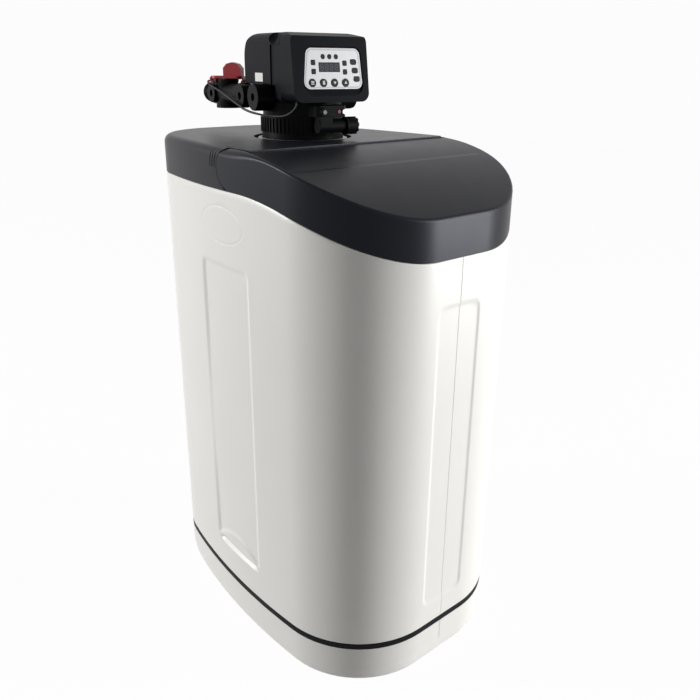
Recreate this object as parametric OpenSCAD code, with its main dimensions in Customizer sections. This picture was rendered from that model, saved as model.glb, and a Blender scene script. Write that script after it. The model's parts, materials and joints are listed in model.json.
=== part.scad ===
// Cabinet water softener: moulded brine cabinet, pressure tank, control valve and bypass.
// The origin is on the floor under the middle of the cabinet. +Z is up and the front faces -Y.

/* [Cabinet] */
// Width across the widest point of the cabinet
body_w = 320; // [300:1:340]
// Depth from the front face to the rear face
body_d = 472; // [450:1:500]
// Plan radius of the two front corners
front_corner_r = 120; // [105:1:130]
// Plan radius of the two rear corners
rear_corner_r = 112; // [100:1:125]
// Plan radius of the bowed long sides
side_bow_r = 948; // [850:1:1200]
// Distance from the front face to the widest point
widest_from_front = 178; // [160:1:200]
// Wall of the moulded cabinet
wall = 4; // [3:0.5:5]
// Height of the base up to the dark band
base_h = 54; // [46:1:62]
// Height of the step in the base skirt
base_step_z = 26; // [20:1:34]
// How far the lower base skirt sits back
base_step_in = 2.5; // [1:0.5:4]
// Height of the dark band between base and cabinet
band_h = 8; // [5:1:12]
// How far the dark band sits back
band_set = 2; // [1:0.5:3]
// Thickness of the dark band strip
band_t = 4; // [3:0.5:6]
// Height of the cabinet rim at the rear
rim_rear_z = 602; // [590:1:612]
// Height of the cabinet rim at the front
rim_front_z = 544; // [530:1:560]
// Distance from the front over which the rim falls
rim_fall = 200; // [180:1:215]

/* [Cabinet mouldings] */
// Width of the long recess in each side
side_recess_w = 112; // [90:1:125]
// Height of the long recess in each side
side_recess_h = 410; // [360:5:430]
// Height of the middle of the side recess
side_recess_z = 310; // [300:1:320]
// Distance of the side recess behind the front face
side_recess_from_front = 234; // [220:1:245]
// Depth of the side recess
side_recess_d = 3; // [1.5:0.5:4]
// Length of the oval ring groove
oval_l = 94; // [70:1:100]
// Height of the oval ring groove
oval_h = 43; // [30:1:46]
// Height of the middle of the oval
oval_z = 560; // [552:1:564]
// Width of the front recess
front_recess_w = 72; // [60:1:76]
// Height of the front recess
front_recess_h = 400; // [360:5:410]
// Height of the middle of the front recess
front_recess_z = 291; // [284:1:298]
// Depth of the front recess
front_recess_d = 2; // [1:0.5:3]

/* [Lids] */
// Height of the flat top of the rear cover
cover_top = 648; // [640:1:656]
// Wall of the rear cover and of the salt lid
lid_t = 3.5; // [2.5:0.5:4.5]
// Radius of the rounded top edge
edge_r = 10; // [6:1:14]
// Height of the salt lid's front edge
lid_front_z = 588; // [580:1:594]
// Distance of the split line behind the front face
split_from_front = 172; // [165:1:176]
// Open line between the salt lid and the rear cover
split_gap = 4.3; // [4.2:0.1:6]
// Distance of the lid hinge behind the front face
hinge_from_front = 215; // [213:0.5:217]
// Height of the lid hinge
hinge_z = 639; // [638:0.5:640]
// Height of the middle of the salt lid's round rear end
nose_z = 625; // [624.8:0.1:625.4]
// Radius of the round rear end of the salt lid
nose_r = 22; // [21.5:0.1:22.2]
// Gap round the nose of the salt lid
nose_gap = 0.8; // [0.5:0.1:1.2]
// Width of each side arm of the salt lid
ear_w = 9; // [8:0.5:11]
// Diameter of the lid pins
pin_d = 6; // [5:0.5:7]
// Width of the valve opening in the rear cover
valve_hole_d = 126; // [120:1:134]
// Gap between the cabinet rim and the lids
seam_gap = 0.3; // [0.2:0.05:0.6]

/* [Pressure tank] */
// Outside diameter of the pressure tank
tank_d = 208; // [195:1:214]
// Wall of the pressure tank
tank_wall = 3; // [2:0.5:4]
// Distance of the tank axis behind the front face
tank_from_front = 280; // [277:1:283]
// Height of the top of the tank neck
neck_top = 644; // [640:1:646]
// Outside diameter of the tank neck
neck_d = 84; // [80:1:86]
// Bore of the tank neck
neck_bore_d = 63.5; // [60:0.5:66]
// Height of the resin bed
resin_h = 310; // [260:5:360]
// Outside diameter of the riser tube
riser_d = 26.7; // [24:0.1:28]
// Bore of the riser tube
riser_bore_d = 21; // [18:0.5:22]

/* [Brine well] */
// Outside diameter of the brine well
well_d = 90; // [80:1:96]
// Wall of the brine well
well_wall = 2.5; // [2:0.5:4]
// Height of the brine well
well_h = 480; // [440:5:490]
// Distance of the brine well's axis from the cabinet's side
well_from_side = 76; // [72:1:80]
// Distance of the brine well behind the front face
well_from_front = 118; // [112:1:122]
// Height of the salt plate above the floor
plate_h = 40; // [30:1:60]
// Width of a hole in the salt plate
plate_hole_d = 8; // [5:1:10]
// Diameter of the float
float_d = 44; // [36:1:50]
// Height of the float
float_h = 46; // [36:1:56]
// Travel of the float
float_travel = 60; // [40:1:80]
// Diameter of the float rod
rod_d = 6; // [5:0.5:7]

/* [Valve] */
// How far the valve is turned about the tank axis
valve_turn = 10; // [6:0.5:12]
// Height of the port axis above the rear cover
port_rise = 48.5; // [47.5:0.5:49]
// Sideways distance of the port tubes from the valve axis
port_x = 54; // [53:0.5:56]
// Outside diameter of the port tubes
port_tube_d = 26; // [25:0.5:28]
// Bore of the port tubes
port_bore_d = 19; // [16:0.5:20]
// Outside diameter of the ribbed base nut
base_nut_d = 104; // [100:1:108]
// Number of ribs on the base nut
base_nut_ribs = 60; // [48:1:66]
// Diameter of the ceramic discs
disc_d = 60; // [56:1:61]
// Diameter of the spindle
spindle_d = 14; // [12:0.5:15]

/* [Gear drive] */
// Tooth module of the gears
tooth_m = 1; // [0.9:0.05:1.1]
// Teeth on the main gear
gear_teeth = 56; // [52:2:58]
// Teeth on the motor pinion
pinion_teeth = 14; // [12:2:16]
// Thickness of the gears
gear_t = 7; // [5:0.5:8]
// Diameter of the drive motor
motor_d = 36; // [30:1:38]
// Height of the drive motor
motor_h = 23; // [18:1:25]

/* [Control head] */
// Width of the control head
head_w = 102; // [98:1:108]
// Height of the control head
head_h = 77; // [75:1:79]
// Height of the underside of the head above the rear cover
head_rise = 45; // [44:0.5:46]
// Distance of the lower front edge before the valve axis
head_front = 78; // [76:1:80]
// Distance of the rear face behind the valve axis
head_rear = 60; // [58:1:64]
// Distance of the joint line before the valve axis
head_joint = 40; // [38:0.5:42]
// Backward lean of the front face
face_tilt = 8.5; // [6:0.5:10]
// Wall of the head housings
head_wall = 2.5; // [2:0.25:3]
// Corner radius of the head
head_corner_r = 11; // [9:0.5:12]
// Radius of the rounded rear top edge
head_back_r = 28; // [20:1:32]
// Forward fall of the head's top before the joint line
top_slope = 9; // [5:0.5:11]
// Lower width of the silver panel plate
panel_w = 80.8; // [80:0.2:82]
// Height of the silver panel plate
panel_h = 45.6; // [45:0.2:46.4]
// Diameter of the round buttons
button_d = 9; // [7:0.5:10]
// Travel of a button
button_travel = 0.8; // [0.4:0.1:1]

/* [Bypass] */
// Distance of the bypass barrel behind the valve axis
barrel_y = 109; // [107:0.5:111]
// Diameter of the bypass rotor
rotor_d = 18; // [16:0.5:18.5]
// Radial clearance of the rotor
rotor_clear = 0.05; // [0.03:0.01:0.1]
// Outside diameter of the threaded pipe ends
pipe_end_d = 26.4; // [25:0.1:27]
// Length of the threaded pipe ends
pipe_end_l = 18; // [14:1:20]
// Length of the red handle plate
handle_l = 45; // [40:1:46]
// Height of the red grip
grip_h = 18; // [14:1:22]
// Resting angle of the red handle
handle_turn = -45; // [-60:1:-30]
// Diameter of the sensor cable
cable_d = 3; // [2.5:0.1:3.5]

/* [Hidden] */
$fn = 64;

// Plan of the cabinet
front_y = -body_d / 2;
rear_y = body_d / 2;
corner_steps = 16;
bow_steps = 12;
bow_cx = body_w / 2 - side_bow_r;
bow_cy = front_y + widest_from_front;
front_cy = front_y + front_corner_r;
rear_cy = rear_y - rear_corner_r;
front_cx = bow_cx + sqrt(pow(side_bow_r - front_corner_r, 2) - pow(front_cy - bow_cy, 2));
rear_cx = bow_cx + sqrt(pow(side_bow_r - rear_corner_r, 2) - pow(rear_cy - bow_cy, 2));
bow_a0 = atan2(front_cy - bow_cy, front_cx - bow_cx);
bow_a1 = atan2(rear_cy - bow_cy, rear_cx - bow_cx);
band_top = base_h + band_h;
floor_top = band_top + wall;
cut = 1;

// Lids and hinge
split_y = front_y + split_from_front;
cover_front_y = split_y + split_gap;
hinge_y = front_y + hinge_from_front;
ear_x = body_w / 2 - ear_w;
cheek_gap = 1;
cheek_t = 6;
cheek_x = ear_x - cheek_gap;
cheek_len = 70;
pin_head_t = 4;
pin_head_d = pin_d + 3;
hinge_relief = 0.5;
relief_r = cover_top - hinge_z + 1 + hinge_relief;
pin_reach = 5;
groove_w = 1.4;
groove_d = 1.2;
groove_step = 5;
edge_layers = [for (i = [0 : 6]) [1 - cos(15 * i), 1 - sin(15 * i)]];
tongue_gap = 0.4;
tongue_t = 2.5;
tongue_h = 12;

// Tank and brine well
tank_y = front_y + tank_from_front;
tank_r = tank_d / 2;
boot_h = 34;
boot_gap = 0.2;
tank_bottom = floor_top + 6;
dome_h = 50;
neck_root = neck_top - 34;
tank_shoulder = neck_root - 60;
neck_flange_r = neck_d / 2 + 8;
neck_flange_z = neck_top - 10;
neck_flange_t = 6;
fill_gap = 0.3;
distributor_r = 28;
distributor_h = 40;
distributor_z = tank_bottom + tank_wall + 2.1;
well_y = front_y + well_from_front;
well_x = body_w / 2 - well_from_side;
well_r = well_d / 2;
well_top = floor_top + well_h;
check_r = 14;
check_h = 52;
float_rise = 230;
float_z = floor_top + float_rise;
float_fit = 0.1;
stop_t = 5;
stop_r = rod_d / 2 + 3;
plate_t = 4;
plate_gap = 1.5;

// Valve heights
collar_t = 7;
collar_gap = 0.4;
collar_r = neck_d / 2 + 15;
nut_z = neck_flange_z + neck_flange_t + collar_t;
nut_h = 27;
nut_band = 8;
nut_lip = 2;
flange_r = neck_d / 2 + 3;
spigot_r = neck_bore_d / 2 - 0.5;
spigot_len = 44;
spigot_z = neck_top - spigot_len;
port_z = cover_top + port_rise;
drum_r = 50;
drum_z = nut_z + nut_h;
deck_z = cover_top + 43;
deck_t = 7;
deck_w = 88;
deck_front = 22;
deck_back = 51.5;
disc_r = disc_d / 2;
fixed_t = 8;
moving_t = 7;
chamber_r = disc_r + 1;
chamber_z = deck_z - 23;
disc_gap = 0.1;
moving_z = chamber_z + fixed_t + disc_gap;
spindle_z = moving_z + moving_t;
spindle_foot_r = 20;
spindle_foot_t = 4;
cover_plate_r = 39;
cover_plate_t = 6;
oring_d = 3;
stub_r = 16;
stub_y = -4;
stub_end = 68;
stub_root = 40.5;
boss2_y = 36;
boss2_r = 14;
boss3_y = barrel_y + 22.4;
boss3_r = 12.6;
plug_t = 2.5;
plug_rim = 0.5;
joint_y = 52;
joint_gap = 0.3;

// Injector arm and drain
block_front = -71;
block_low = deck_z - 15.6;
block_top = deck_z - 2.4;
block_left = -17;
block_right = 26.5;
block_plan = [[block_left, -38], [block_left, block_front + 4], [block_left + 4, block_front],
              [block_right - 6, block_front], [block_right, block_front + 9], [block_right, -38]];
injector_x = -9;
injector_z = deck_z - 9.4;
injector_r = 5.2;
injector_cap_t = 3;
nozzle_r = 2.4;
nozzle_l = 14;
flow_plug_x = 12.5;
flow_plug_r = 2.6;
flow_plug_l = 8;
block_screw_x = 19.2;
drain_y = -66;
drain_z = deck_z - 26.2;
drain_r = 8;
drain_bore_r = 4;
drain_root = -15;
drain_end = 22;
drain_spigot_r = 6.5;
drain_spigot_l = 12;
drain_nut_r = 10.5;
drain_nut_l = 16;
drain_box = [16, 15.4];

// Gear drive
gear_rise = 66;
gear_z = cover_top + gear_rise;
gear_r = tooth_m * gear_teeth / 2;
pinion_r = tooth_m * pinion_teeth / 2;
gear_gap = 0.12;
motor_y = gear_r + pinion_r + gear_gap;
shaft_r = 2.5;
shaft_fit = 0.05;
drive_plate_z = gear_z + gear_t + 5;
drive_plate_t = 3;
post_r = 4;
post_x = 36;
post_y = [-15, 46];
drive_front = 20;
drive_back = 56;

// Control head
head_z = cover_top + head_rise;
head_top = head_z + head_h;
face_y = -head_front;
face_z = head_z + 5;
face_low = -5;
rear_low = port_z + stub_r + 0.7;
joint_line = 1;
head_step_y = -24.5;
dip_y = -23.5;
dip_r = 14.5;
dip_out = 2;
side_panel_l = 25;
side_panel_d = 1.5;
pocket_d = 2;
pocket_margin = 1.5;
lip_h = 7.7;
lip_r = 14;
panel_t = 1.2;
panel_x = 2.6;
panel_low = 10;
panel_lean_left = 6.2;
panel_lean_right = 2.8;
panel_r = 8;
face_in = -pocket_d - head_wall;
board_z = face_in - 9.5;
board_t = 1.6;
board_w = 84;
board_u = [4, 60];
part_gap = 0.3;
button_x = [-25.8, -10.9, 4.1, 19.1];
button_u = 17;
button_proud = 0.8;
flange_t = 1.6;
button_flange_r = button_d / 2 + 1;
display_x = -1.8;
display_u = 34.4;
display_w = 28;
display_h = 10.2;
led_x = [-9.7, -0.9, 8];
led_u = 46.1;
led_d = 5.2;
square_at = [[-23.2, 39.5], [-23.2, 29.6], [19.3, 39], [19.3, 29.3]];
square_w = 5.4;
square_r = 1;
status_at = [[31.3, 40.4], [33, 30.8], [34.9, 21.2]];
status_w = 8.2;
status_h = 5.8;
status_r = 2;

// Bypass
barrel_top = port_z + 19;
barrel_low = port_z - 18;
barrel_wall = 3;
barrel_flange_r = 17;
rotor_r = rotor_d / 2;
rotor_bore_r = rotor_r + rotor_clear;
rotor_low = barrel_low + 4;
rotor_top = barrel_top + 0.4;
rotor_port_d = 11;
end_ring = 6;
bypass_end = boss3_y + boss3_r + end_ring;
handle_w = 19;
handle_t = 3;
grip_w = 25;
grip_t = 12;
hook_r = 4.2;
grip_out = 8;
impeller_y = boss3_y + 10;
impeller_r = port_bore_d / 2 - 1;
impeller_l = 10;
impeller_pin_r = 1.5;
bearing_y = impeller_y + impeller_l + 0.3;
bearing_t = 3;
bearing_h = 5;
sensor_len = 8;
sensor_seat = 0.1;
sensor_y = bypass_end - end_ring - sensor_len - part_gap;

// Route of the sensor cable in the valve frame, from the sensor to the head
cable_path = [
    [-60.2, 139.7, 712.5], [-66, 139.7, 712.4], [-71.5, 137.5, 711.2], [-73.2, 128, 707.6], [-73, 114, 704.4],
    [-73, 93, 700.1], [-73, 72.6, 695.1], [-73, 52.6, 690.1], [-73, 33.3, 685.5], [-72.5, 20, 682],
    [-70, 5, 679], [-66, -9, 677.2], [-60.5, -15.5, 675.8], [-55.5, -21, 675.3], [-50.5, -29.6, 675.2],
    [-46, -36.5, 675.8], [-41, -43, 678.6], [-36.5, -47, 683.2], [-34, -48.5, 687.5], [-33.5, -49, 692],
    [-33.5, -49, 698]
];
cable_end = cable_path[len(cable_path) - 1];
cable_sides = 8;

// Cabinet details
rim_steps = 20;
side_recess_y = front_y + side_recess_from_front;
recess_corner_r = 11;
pad_margin = 8;
oval_line = 1.2;
oval_depth = 0.6;
seam_w = 0.7;
seam_d = 0.5;
base_wall = 10;
base_round = 8;
rib_t = 5;
rib_x = 50;

// Lid details
lid_top = nose_z + nose_r;
lid_depth = 40;
arch_steps = 16;
groove_count = 3;
pin_fit = 0.06;

// Tank and well details
dome_steps = 14;
resin_top = tank_bottom + tank_wall + resin_h;
riser_low = distributor_z + 12;
riser_top = spigot_z + 36;
slot_w = 2;
riser_fit = 0.05;
slot_count = 16;
top_basket_h = 30;
top_basket_r = 24;
cap_t = 3;
cap_lip = 8;
rod_seat = 10;
rod_low = floor_top + check_h - rod_seat;
rod_over = 20;
rod_top = float_z + float_h + float_travel + stop_t + rod_over;
plate_z = floor_top + plate_h;
plate_legs = [[-90, -30], [-40, -95], [15, -125], [-100, -85], [0, -60]];
plate_pitch = 24;

// Valve details
rib_proud = 1.4;
rib_w = 1.8;
plug_bore_r = 9;
way_in = chamber_r - 6;
way_r = 4.5;
way_drop = 9;
plug_depth = 12;
spindle_fit = 0.05;
spindle_top = drive_plate_z + drive_plate_t;
motor_z = drive_plate_z + drive_plate_t;
hex_r = 5;
screw_r = 2;
screw_fit = 0.1;
screw_head_t = 2;
screw_xy = 24.7;
screw_at = [for (x = [-1, 1]) for (y = [-1, 1]) [x * screw_xy, y * screw_xy]];

// Head details
room_gap = 0.6;
board_post_r = 3;
tongue_in = 0.2;
front_tongue = 6;
panel_steps = 10;
lip_angle = atan(pocket_d / (lip_h - 0.4));
plate_top = -pocket_d + panel_t;
stem_r = 2;
button_rest = 0.2;
label_size = [22, 10.2];
label_t = 0.3;

// Outline helpers
function arc(cx, cy, r, a0, a1, n, skip = 0) =
    [for (i = [skip : n - skip])
        let (a = a0 + (a1 - a0) * i / n)
        [cx + r * cos(a), cy + r * sin(a)]];

function half_plan(off) = concat(
    arc(front_cx, front_cy, front_corner_r - off, -90, bow_a0, corner_steps),
    arc(bow_cx, bow_cy, side_bow_r - off, bow_a0, bow_a1, bow_steps, 1),
    arc(rear_cx, rear_cy, rear_corner_r - off, bow_a1, 90, corner_steps));

function plan(off) =
    let (h = half_plan(off))
    concat(h, [for (i = [len(h) - 1 : -1 : 0]) [-h[i][0], h[i][1]]]);

module plan_slab(off, z0, z1) {
    translate([0, 0, z0])
        linear_extrude(z1 - z0)
            polygon(plan(off));
}

module plan_ring(off_out, off_in, z0, z1) {
    difference() {
        plan_slab(off_out, z0, z1);
        plan_slab(off_in, z0 - cut, z1 + cut);
    }
}

// A shape drawn in Y and Z, as wide as the cabinet
module across(width = body_w + 20) {
    rotate([90, 0, 90])
        linear_extrude(width, center = true)
            children();
}

module round_rect(w, h, r) {
    square([w - 2 * r, h], center = true);
    square([w, h - 2 * r], center = true);
    for (x = [-1, 1])
        for (y = [-1, 1])
            translate([x * (w / 2 - r), y * (h / 2 - r)])
                circle(r);
}

function rim_z(y) =
    y >= front_y + rim_fall ? rim_rear_z
    : rim_rear_z - (rim_rear_z - rim_front_z) * pow((front_y + rim_fall - y) / rim_fall, 2);

// Everything below the cabinet rim
module below_rim(gap) {
    across()
        polygon(concat(
            [[rear_y + cut, 0], [rear_y + cut, rim_rear_z + gap]],
            [for (i = [rim_steps : -1 : 0])
                let (y = front_y + rim_fall * i / rim_steps)
                [y, rim_z(y) + gap]],
            [[front_y - 20, rim_front_z + gap - 6], [front_y - 20, 0]]));
}

module x_rod(x0, x1, y, z, r) {
    translate([x0, y, z])
        rotate([0, 90, 0])
            cylinder(h = x1 - x0, r = r);
}

module y_rod(x, y0, y1, z, r) {
    translate([x, y1, z])
        rotate([90, 0, 0])
            cylinder(h = y1 - y0, r = r);
}

module tube(r_out, r_in, z0, z1) {
    translate([0, 0, z0])
        difference() {
            cylinder(h = z1 - z0, r = r_out);
            translate([0, 0, -cut])
                cylinder(h = z1 - z0 + 2 * cut, r = r_in);
        }
}

module at_tank() {
    translate([0, tank_y, 0])
        children();
}

module at_valve() {
    translate([0, tank_y, 0])
        rotate([0, 0, -valve_turn])
            children();
}

module at_well() {
    translate([well_x, well_y, 0])
        children();
}

// X across the face, Y up the face, Z out of the face
module at_face() {
    translate([0, face_y, face_z])
        rotate([90 - face_tilt, 0, 0])
            children();
}

// Cabinet pieces
module side_mould(depth) {
    intersection() {
        plan_ring(-cut, depth, floor_top, rim_rear_z);
        across()
            children();
    }
}

module oval(grow) {
    polygon([for (i = [0 : 47])
        [(oval_l / 2 + grow) * cos(i * 7.5), (oval_h / 2 + grow) * sin(i * 7.5)]]);
}

module cabinet_shell() {
    color("whitesmoke")
    difference() {
        intersection() {
            union() {
                difference() {
                    plan_slab(0, band_top, rim_rear_z);
                    plan_slab(wall, floor_top, rim_rear_z + cut);
                }
                intersection() {
                    plan_ring(1, wall + side_recess_d, floor_top, rim_rear_z);
                    across()
                        translate([side_recess_y, side_recess_z])
                            square([side_recess_w + 2 * pad_margin,
                                    side_recess_h + 2 * pad_margin], center = true);
                }
                intersection() {
                    plan_ring(1, wall + front_recess_d, floor_top, rim_rear_z);
                    translate([-front_recess_w / 2 - pad_margin, front_y,
                               front_recess_z - front_recess_h / 2 - pad_margin])
                        cube([front_recess_w + 2 * pad_margin, front_corner_r,
                              front_recess_h + 2 * pad_margin]);
                }
            }
            below_rim(0);
        }
        side_mould(side_recess_d)
            translate([side_recess_y, side_recess_z])
                round_rect(side_recess_w, side_recess_h, recess_corner_r);
        side_mould(oval_depth)
            translate([side_recess_y - cut, oval_z])
                difference() {
                    oval(0);
                    oval(-oval_line);
                }
        intersection() {
            plan_ring(-cut, front_recess_d, floor_top, rim_rear_z);
            translate([0, 0, front_recess_z])
                rotate([90, 0, 0])
                    linear_extrude(body_d)
                        round_rect(front_recess_w, front_recess_h, recess_corner_r + 3);
        }
        translate([-seam_w / 2, front_y - cut, band_top - cut])
            cube([seam_w, cut + seam_d, rim_rear_z]);
    }
}

module base_tray() {
    color("whitesmoke") {
        difference() {
            union() {
                plan_slab(0, base_step_z, base_h);
                hull() {
                    plan_slab(base_step_in, base_round * 1.5, base_step_z + cut / 2);
                    plan_slab(base_step_in + base_round * 0.3, base_round * 0.5, base_step_z);
                    plan_slab(base_step_in + base_round, 0, base_step_z);
                }
                plan_slab(band_set + band_t, base_h, band_top);
            }
            plan_slab(base_step_in + base_round + base_wall, -cut, base_h - wall);
            translate([-seam_w / 2, front_y - cut, base_step_z])
                cube([seam_w, cut + seam_d, base_h]);
        }
        for (x = [-1, 1])
            intersection() {
                translate([x * rib_x - rib_t / 2, front_y, 0])
                    cube([rib_t, body_d, base_h - wall]);
                plan_slab(base_step_in + base_round + base_wall / 2, 0, base_h);
            }
    }
}

module trim_band() {
    color("#202124")
        plan_ring(band_set, band_set + band_t, base_h, band_top);
}

// The cover without its openings: a slab with a rounded top edge
module cover_form() {
    hull()
        for (l = edge_layers)
            plan_slab(edge_r * l[0], rim_rear_z + seam_gap, cover_top - edge_r * l[1]);
}

// What the salt lid takes from the rear cover
module lid_room() {
    translate([-cheek_x, front_y - cut, rim_front_z])
        cube([2 * cheek_x, cover_front_y - front_y + cut, cover_top]);
    for (s = [-1, 1])
        translate([s > 0 ? cheek_x : -cheek_x - body_w, front_y - cut, rim_front_z])
            cube([body_w, hinge_y - front_y + cut, cover_top]);
    for (s = [-1, 1])
        for (n = [[nose_z, nose_r + nose_gap], [hinge_z, relief_r]])
            x_rod(s > 0 ? cheek_x : -body_w, s > 0 ? body_w : -cheek_x, hinge_y, n[0], n[1]);
}

module nose_grooves() {
    intersection() {
        plan_ring(-cut, groove_d, rim_rear_z, cover_top + cut);
        translate([-body_w, hinge_y, nose_z])
            cube([2 * body_w, nose_r * 2, nose_r * 2]);
        across(body_w + 10)
            translate([hinge_y, nose_z])
                for (k = [1 : groove_count])
                    difference() {
                        circle(nose_r + k * groove_step + groove_w / 2);
                        circle(nose_r + k * groove_step - groove_w / 2);
                    }
    }
}

module rear_cover() {
    color("#3c3f46")
    difference() {
        union() {
            difference() {
                cover_form();
                plan_slab(lid_t, rim_rear_z - cut, cover_top - lid_t);
                lid_room();
            }
            // Front apron and the two cheeks that hold the lid pins
            translate([-cheek_x, cover_front_y, rim_rear_z + seam_gap])
                cube([2 * cheek_x, lid_t, cover_top - lid_t - rim_rear_z]);
            for (s = [-1, 1])
                translate([s > 0 ? cheek_x - cheek_t : -cheek_x, cover_front_y,
                           rim_rear_z + seam_gap])
                    cube([cheek_t, cheek_len, cover_top - lid_t - rim_rear_z]);
            // Tongue that drops inside the rim behind the hinge
            intersection() {
                union() {
                    plan_ring(wall + tongue_gap, wall + tongue_gap + tongue_t,
                              rim_rear_z - tongue_h, rim_rear_z + wall);
                    plan_ring(lid_t - cut, wall + tongue_gap + tongue_t,
                              rim_rear_z + seam_gap, rim_rear_z + wall);
                }
                translate([-body_w, hinge_y + nose_r + wall, 0])
                    cube([2 * body_w, body_d, cover_top]);
            }
        }
        translate([0, tank_y, rim_rear_z])
            cylinder(h = cover_top, d = valve_hole_d);
        for (s = [-1, 1])
            x_rod(s * cheek_x - cheek_t - cut, s * cheek_x + cheek_t + cut,
                  hinge_y, hinge_z, pin_d / 2);
        nose_grooves();
    }
}

// Height of the salt lid's top, which falls towards the front as the rim does
function lid_z(y) =
    y >= front_y + rim_fall ? lid_top
    : lid_top - (lid_top - lid_front_z) * pow((front_y + rim_fall - y) / rim_fall, 2);

// Everything under the salt lid's top, lowered by a drop and cut off at the back
module below_lid_top(drop, back) {
    across()
        polygon(concat(
            [[back, 0], [back, lid_z(back) - drop]],
            [for (i = [arch_steps : -1 : -1])
                let (y = front_y + rim_fall * i / arch_steps)
                if (y < back) [y, lid_z(y) - drop]],
            [[front_y - rim_fall / arch_steps, 0]]));
}

module lid_form() {
    intersection() {
        hull()
            for (l = edge_layers)
                intersection() {
                    plan_slab(edge_r * l[0], rim_front_z - lid_depth, cover_top);
                    below_lid_top(edge_r * l[1], hinge_y + 2 * nose_r);
                }
        across() {
            translate([front_y - cut, rim_front_z - lid_depth])
                square([hinge_from_front + cut, body_d]);
            translate([hinge_y, nose_z])
                circle(nose_r);
        }
    }
}

module salt_lid() {
    color("#3c3f46")
    difference() {
        lid_form();
        intersection() {
            plan_slab(lid_t, cut, cover_top);
            below_lid_top(lid_t, split_y + cut);
        }
        translate([-ear_x, split_y, 0])
            cube([2 * ear_x, body_d, cover_top + cut]);
        below_rim(seam_gap);
        for (s = [-1, 1])
            x_rod(s * ear_x - pin_reach, s * ear_x + pin_reach, hinge_y, hinge_z,
                  pin_d / 2 + pin_fit);
    }
}

module lid_pins() {
    color("silver")
    for (s = [-1, 1])
        mirror([s > 0 ? 0 : 1, 0, 0]) {
            x_rod(cheek_x - cheek_t - pin_head_t, cheek_x - cheek_t, hinge_y, hinge_z,
                  pin_head_d / 2);
            x_rod(cheek_x - cheek_t - cut, ear_x + pin_reach - cut, hinge_y, hinge_z, pin_d / 2);
        }
}

// Half profile of the pressure tank, shrunk by an inset
function tank_side(inset) =
    let (r = tank_r - inset, nr = neck_d / 2)
    concat(
        [for (i = [0 : dome_steps])
            let (a = 90 * i / dome_steps)
            [r * sin(a), tank_bottom + dome_h - (dome_h - inset) * cos(a)]],
        [for (i = [0 : dome_steps])
            let (a = 90 * i / dome_steps)
            [nr + (r - nr) * cos(a), tank_shoulder + (neck_root - inset - tank_shoulder) * sin(a)]]);

module tank_solid(inset) {
    rotate_extrude()
        polygon(concat(tank_side(inset), [[0, neck_root - inset]]));
}

module resin_tank() {
    color("#2f5d8a")
    at_tank()
        difference() {
            union() {
                tank_solid(0);
                translate([0, 0, neck_root - tank_wall])
                    cylinder(h = neck_top - neck_root + tank_wall, d = neck_d);
                translate([0, 0, neck_flange_z])
                    cylinder(h = neck_flange_t, r = neck_flange_r);
            }
            tank_solid(tank_wall);
            translate([0, 0, tank_shoulder])
                cylinder(h = neck_top, d = neck_bore_d);
        }
}

module tank_boot() {
    color("#222222")
    at_tank()
        difference() {
            translate([0, 0, floor_top])
                cylinder(h = boot_h, r = tank_r - 8);
            tank_solid(-boot_gap);
            translate([0, 0, floor_top - cut])
                cylinder(h = boot_h, r = tank_r / 2);
        }
}

module resin_bed() {
    color("#b5762c")
    at_tank()
        difference() {
            intersection() {
                tank_solid(tank_wall + fill_gap);
                cylinder(h = resin_top, r = tank_r);
            }
            cylinder(h = resin_top + cut, r = riser_d / 2 + fill_gap);
            cylinder(h = distributor_z + distributor_h + fill_gap, r = distributor_r + fill_gap);
        }
}

module riser_tube() {
    color("white")
    at_tank()
        tube(riser_d / 2, riser_bore_d / 2, riser_low, riser_top);
}

module bottom_distributor() {
    color("#303030")
    at_tank()
        difference() {
            translate([0, 0, distributor_z])
                cylinder(h = distributor_h, r = distributor_r);
            translate([0, 0, riser_low])
                cylinder(h = distributor_h, r = riser_d / 2 + riser_fit);
            translate([0, 0, distributor_z + 4])
                cylinder(h = distributor_h - 8, r = riser_bore_d / 2);
            for (i = [0 : slot_count - 1])
                rotate([0, 0, i * 360 / slot_count])
                    translate([riser_d / 2 + 4, -slot_w / 2, distributor_z + 5])
                        cube([distributor_r, slot_w, distributor_h - 10]);
        }
}

module top_distributor() {
    color("#303030")
    at_tank()
        difference() {
            translate([0, 0, spigot_z - top_basket_h])
                cylinder(h = top_basket_h, r = top_basket_r);
            translate([0, 0, spigot_z - top_basket_h - cut])
                cylinder(h = top_basket_h + 2 * cut, r = riser_d / 2 + fill_gap);
            for (i = [0 : slot_count - 1])
                rotate([0, 0, i * 360 / slot_count])
                    translate([riser_d / 2 + 3, -slot_w / 2, spigot_z - top_basket_h + 3])
                        cube([top_basket_r, slot_w, top_basket_h - 6]);
        }
}

// Brine well and salt plate
module brine_well() {
    color("#e8e8e4")
    at_well()
        difference() {
            tube(well_r, well_r - well_wall, floor_top, well_top);
            for (i = [0 : 5])
                rotate([0, 0, i * 60])
                    translate([0, -slot_w, floor_top - cut])
                        cube([well_r + cut, 2 * slot_w, 20 + cut]);
        }
}

module brine_well_cap() {
    color("#303030")
    at_well() {
        translate([0, 0, well_top])
            cylinder(h = cap_t, r = well_r);
        tube(well_r - well_wall - fill_gap, well_r - 2 * well_wall - fill_gap,
             well_top - cap_lip, well_top + cap_t / 2);
    }
}

module air_check() {
    color("#dcdcdc")
    at_well()
        difference() {
            translate([0, 0, floor_top])
                cylinder(h = check_h, r = check_r);
            for (i = [0 : 7])
                rotate([0, 0, i * 45])
                    translate([check_r - 4, -slot_w / 2, floor_top + 5])
                        cube([check_r, slot_w, check_h - 22]);
            translate([0, 0, floor_top + check_h - 10])
                cylinder(h = 10 + cut, d = rod_d + 2 * screw_fit);
        }
}

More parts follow.
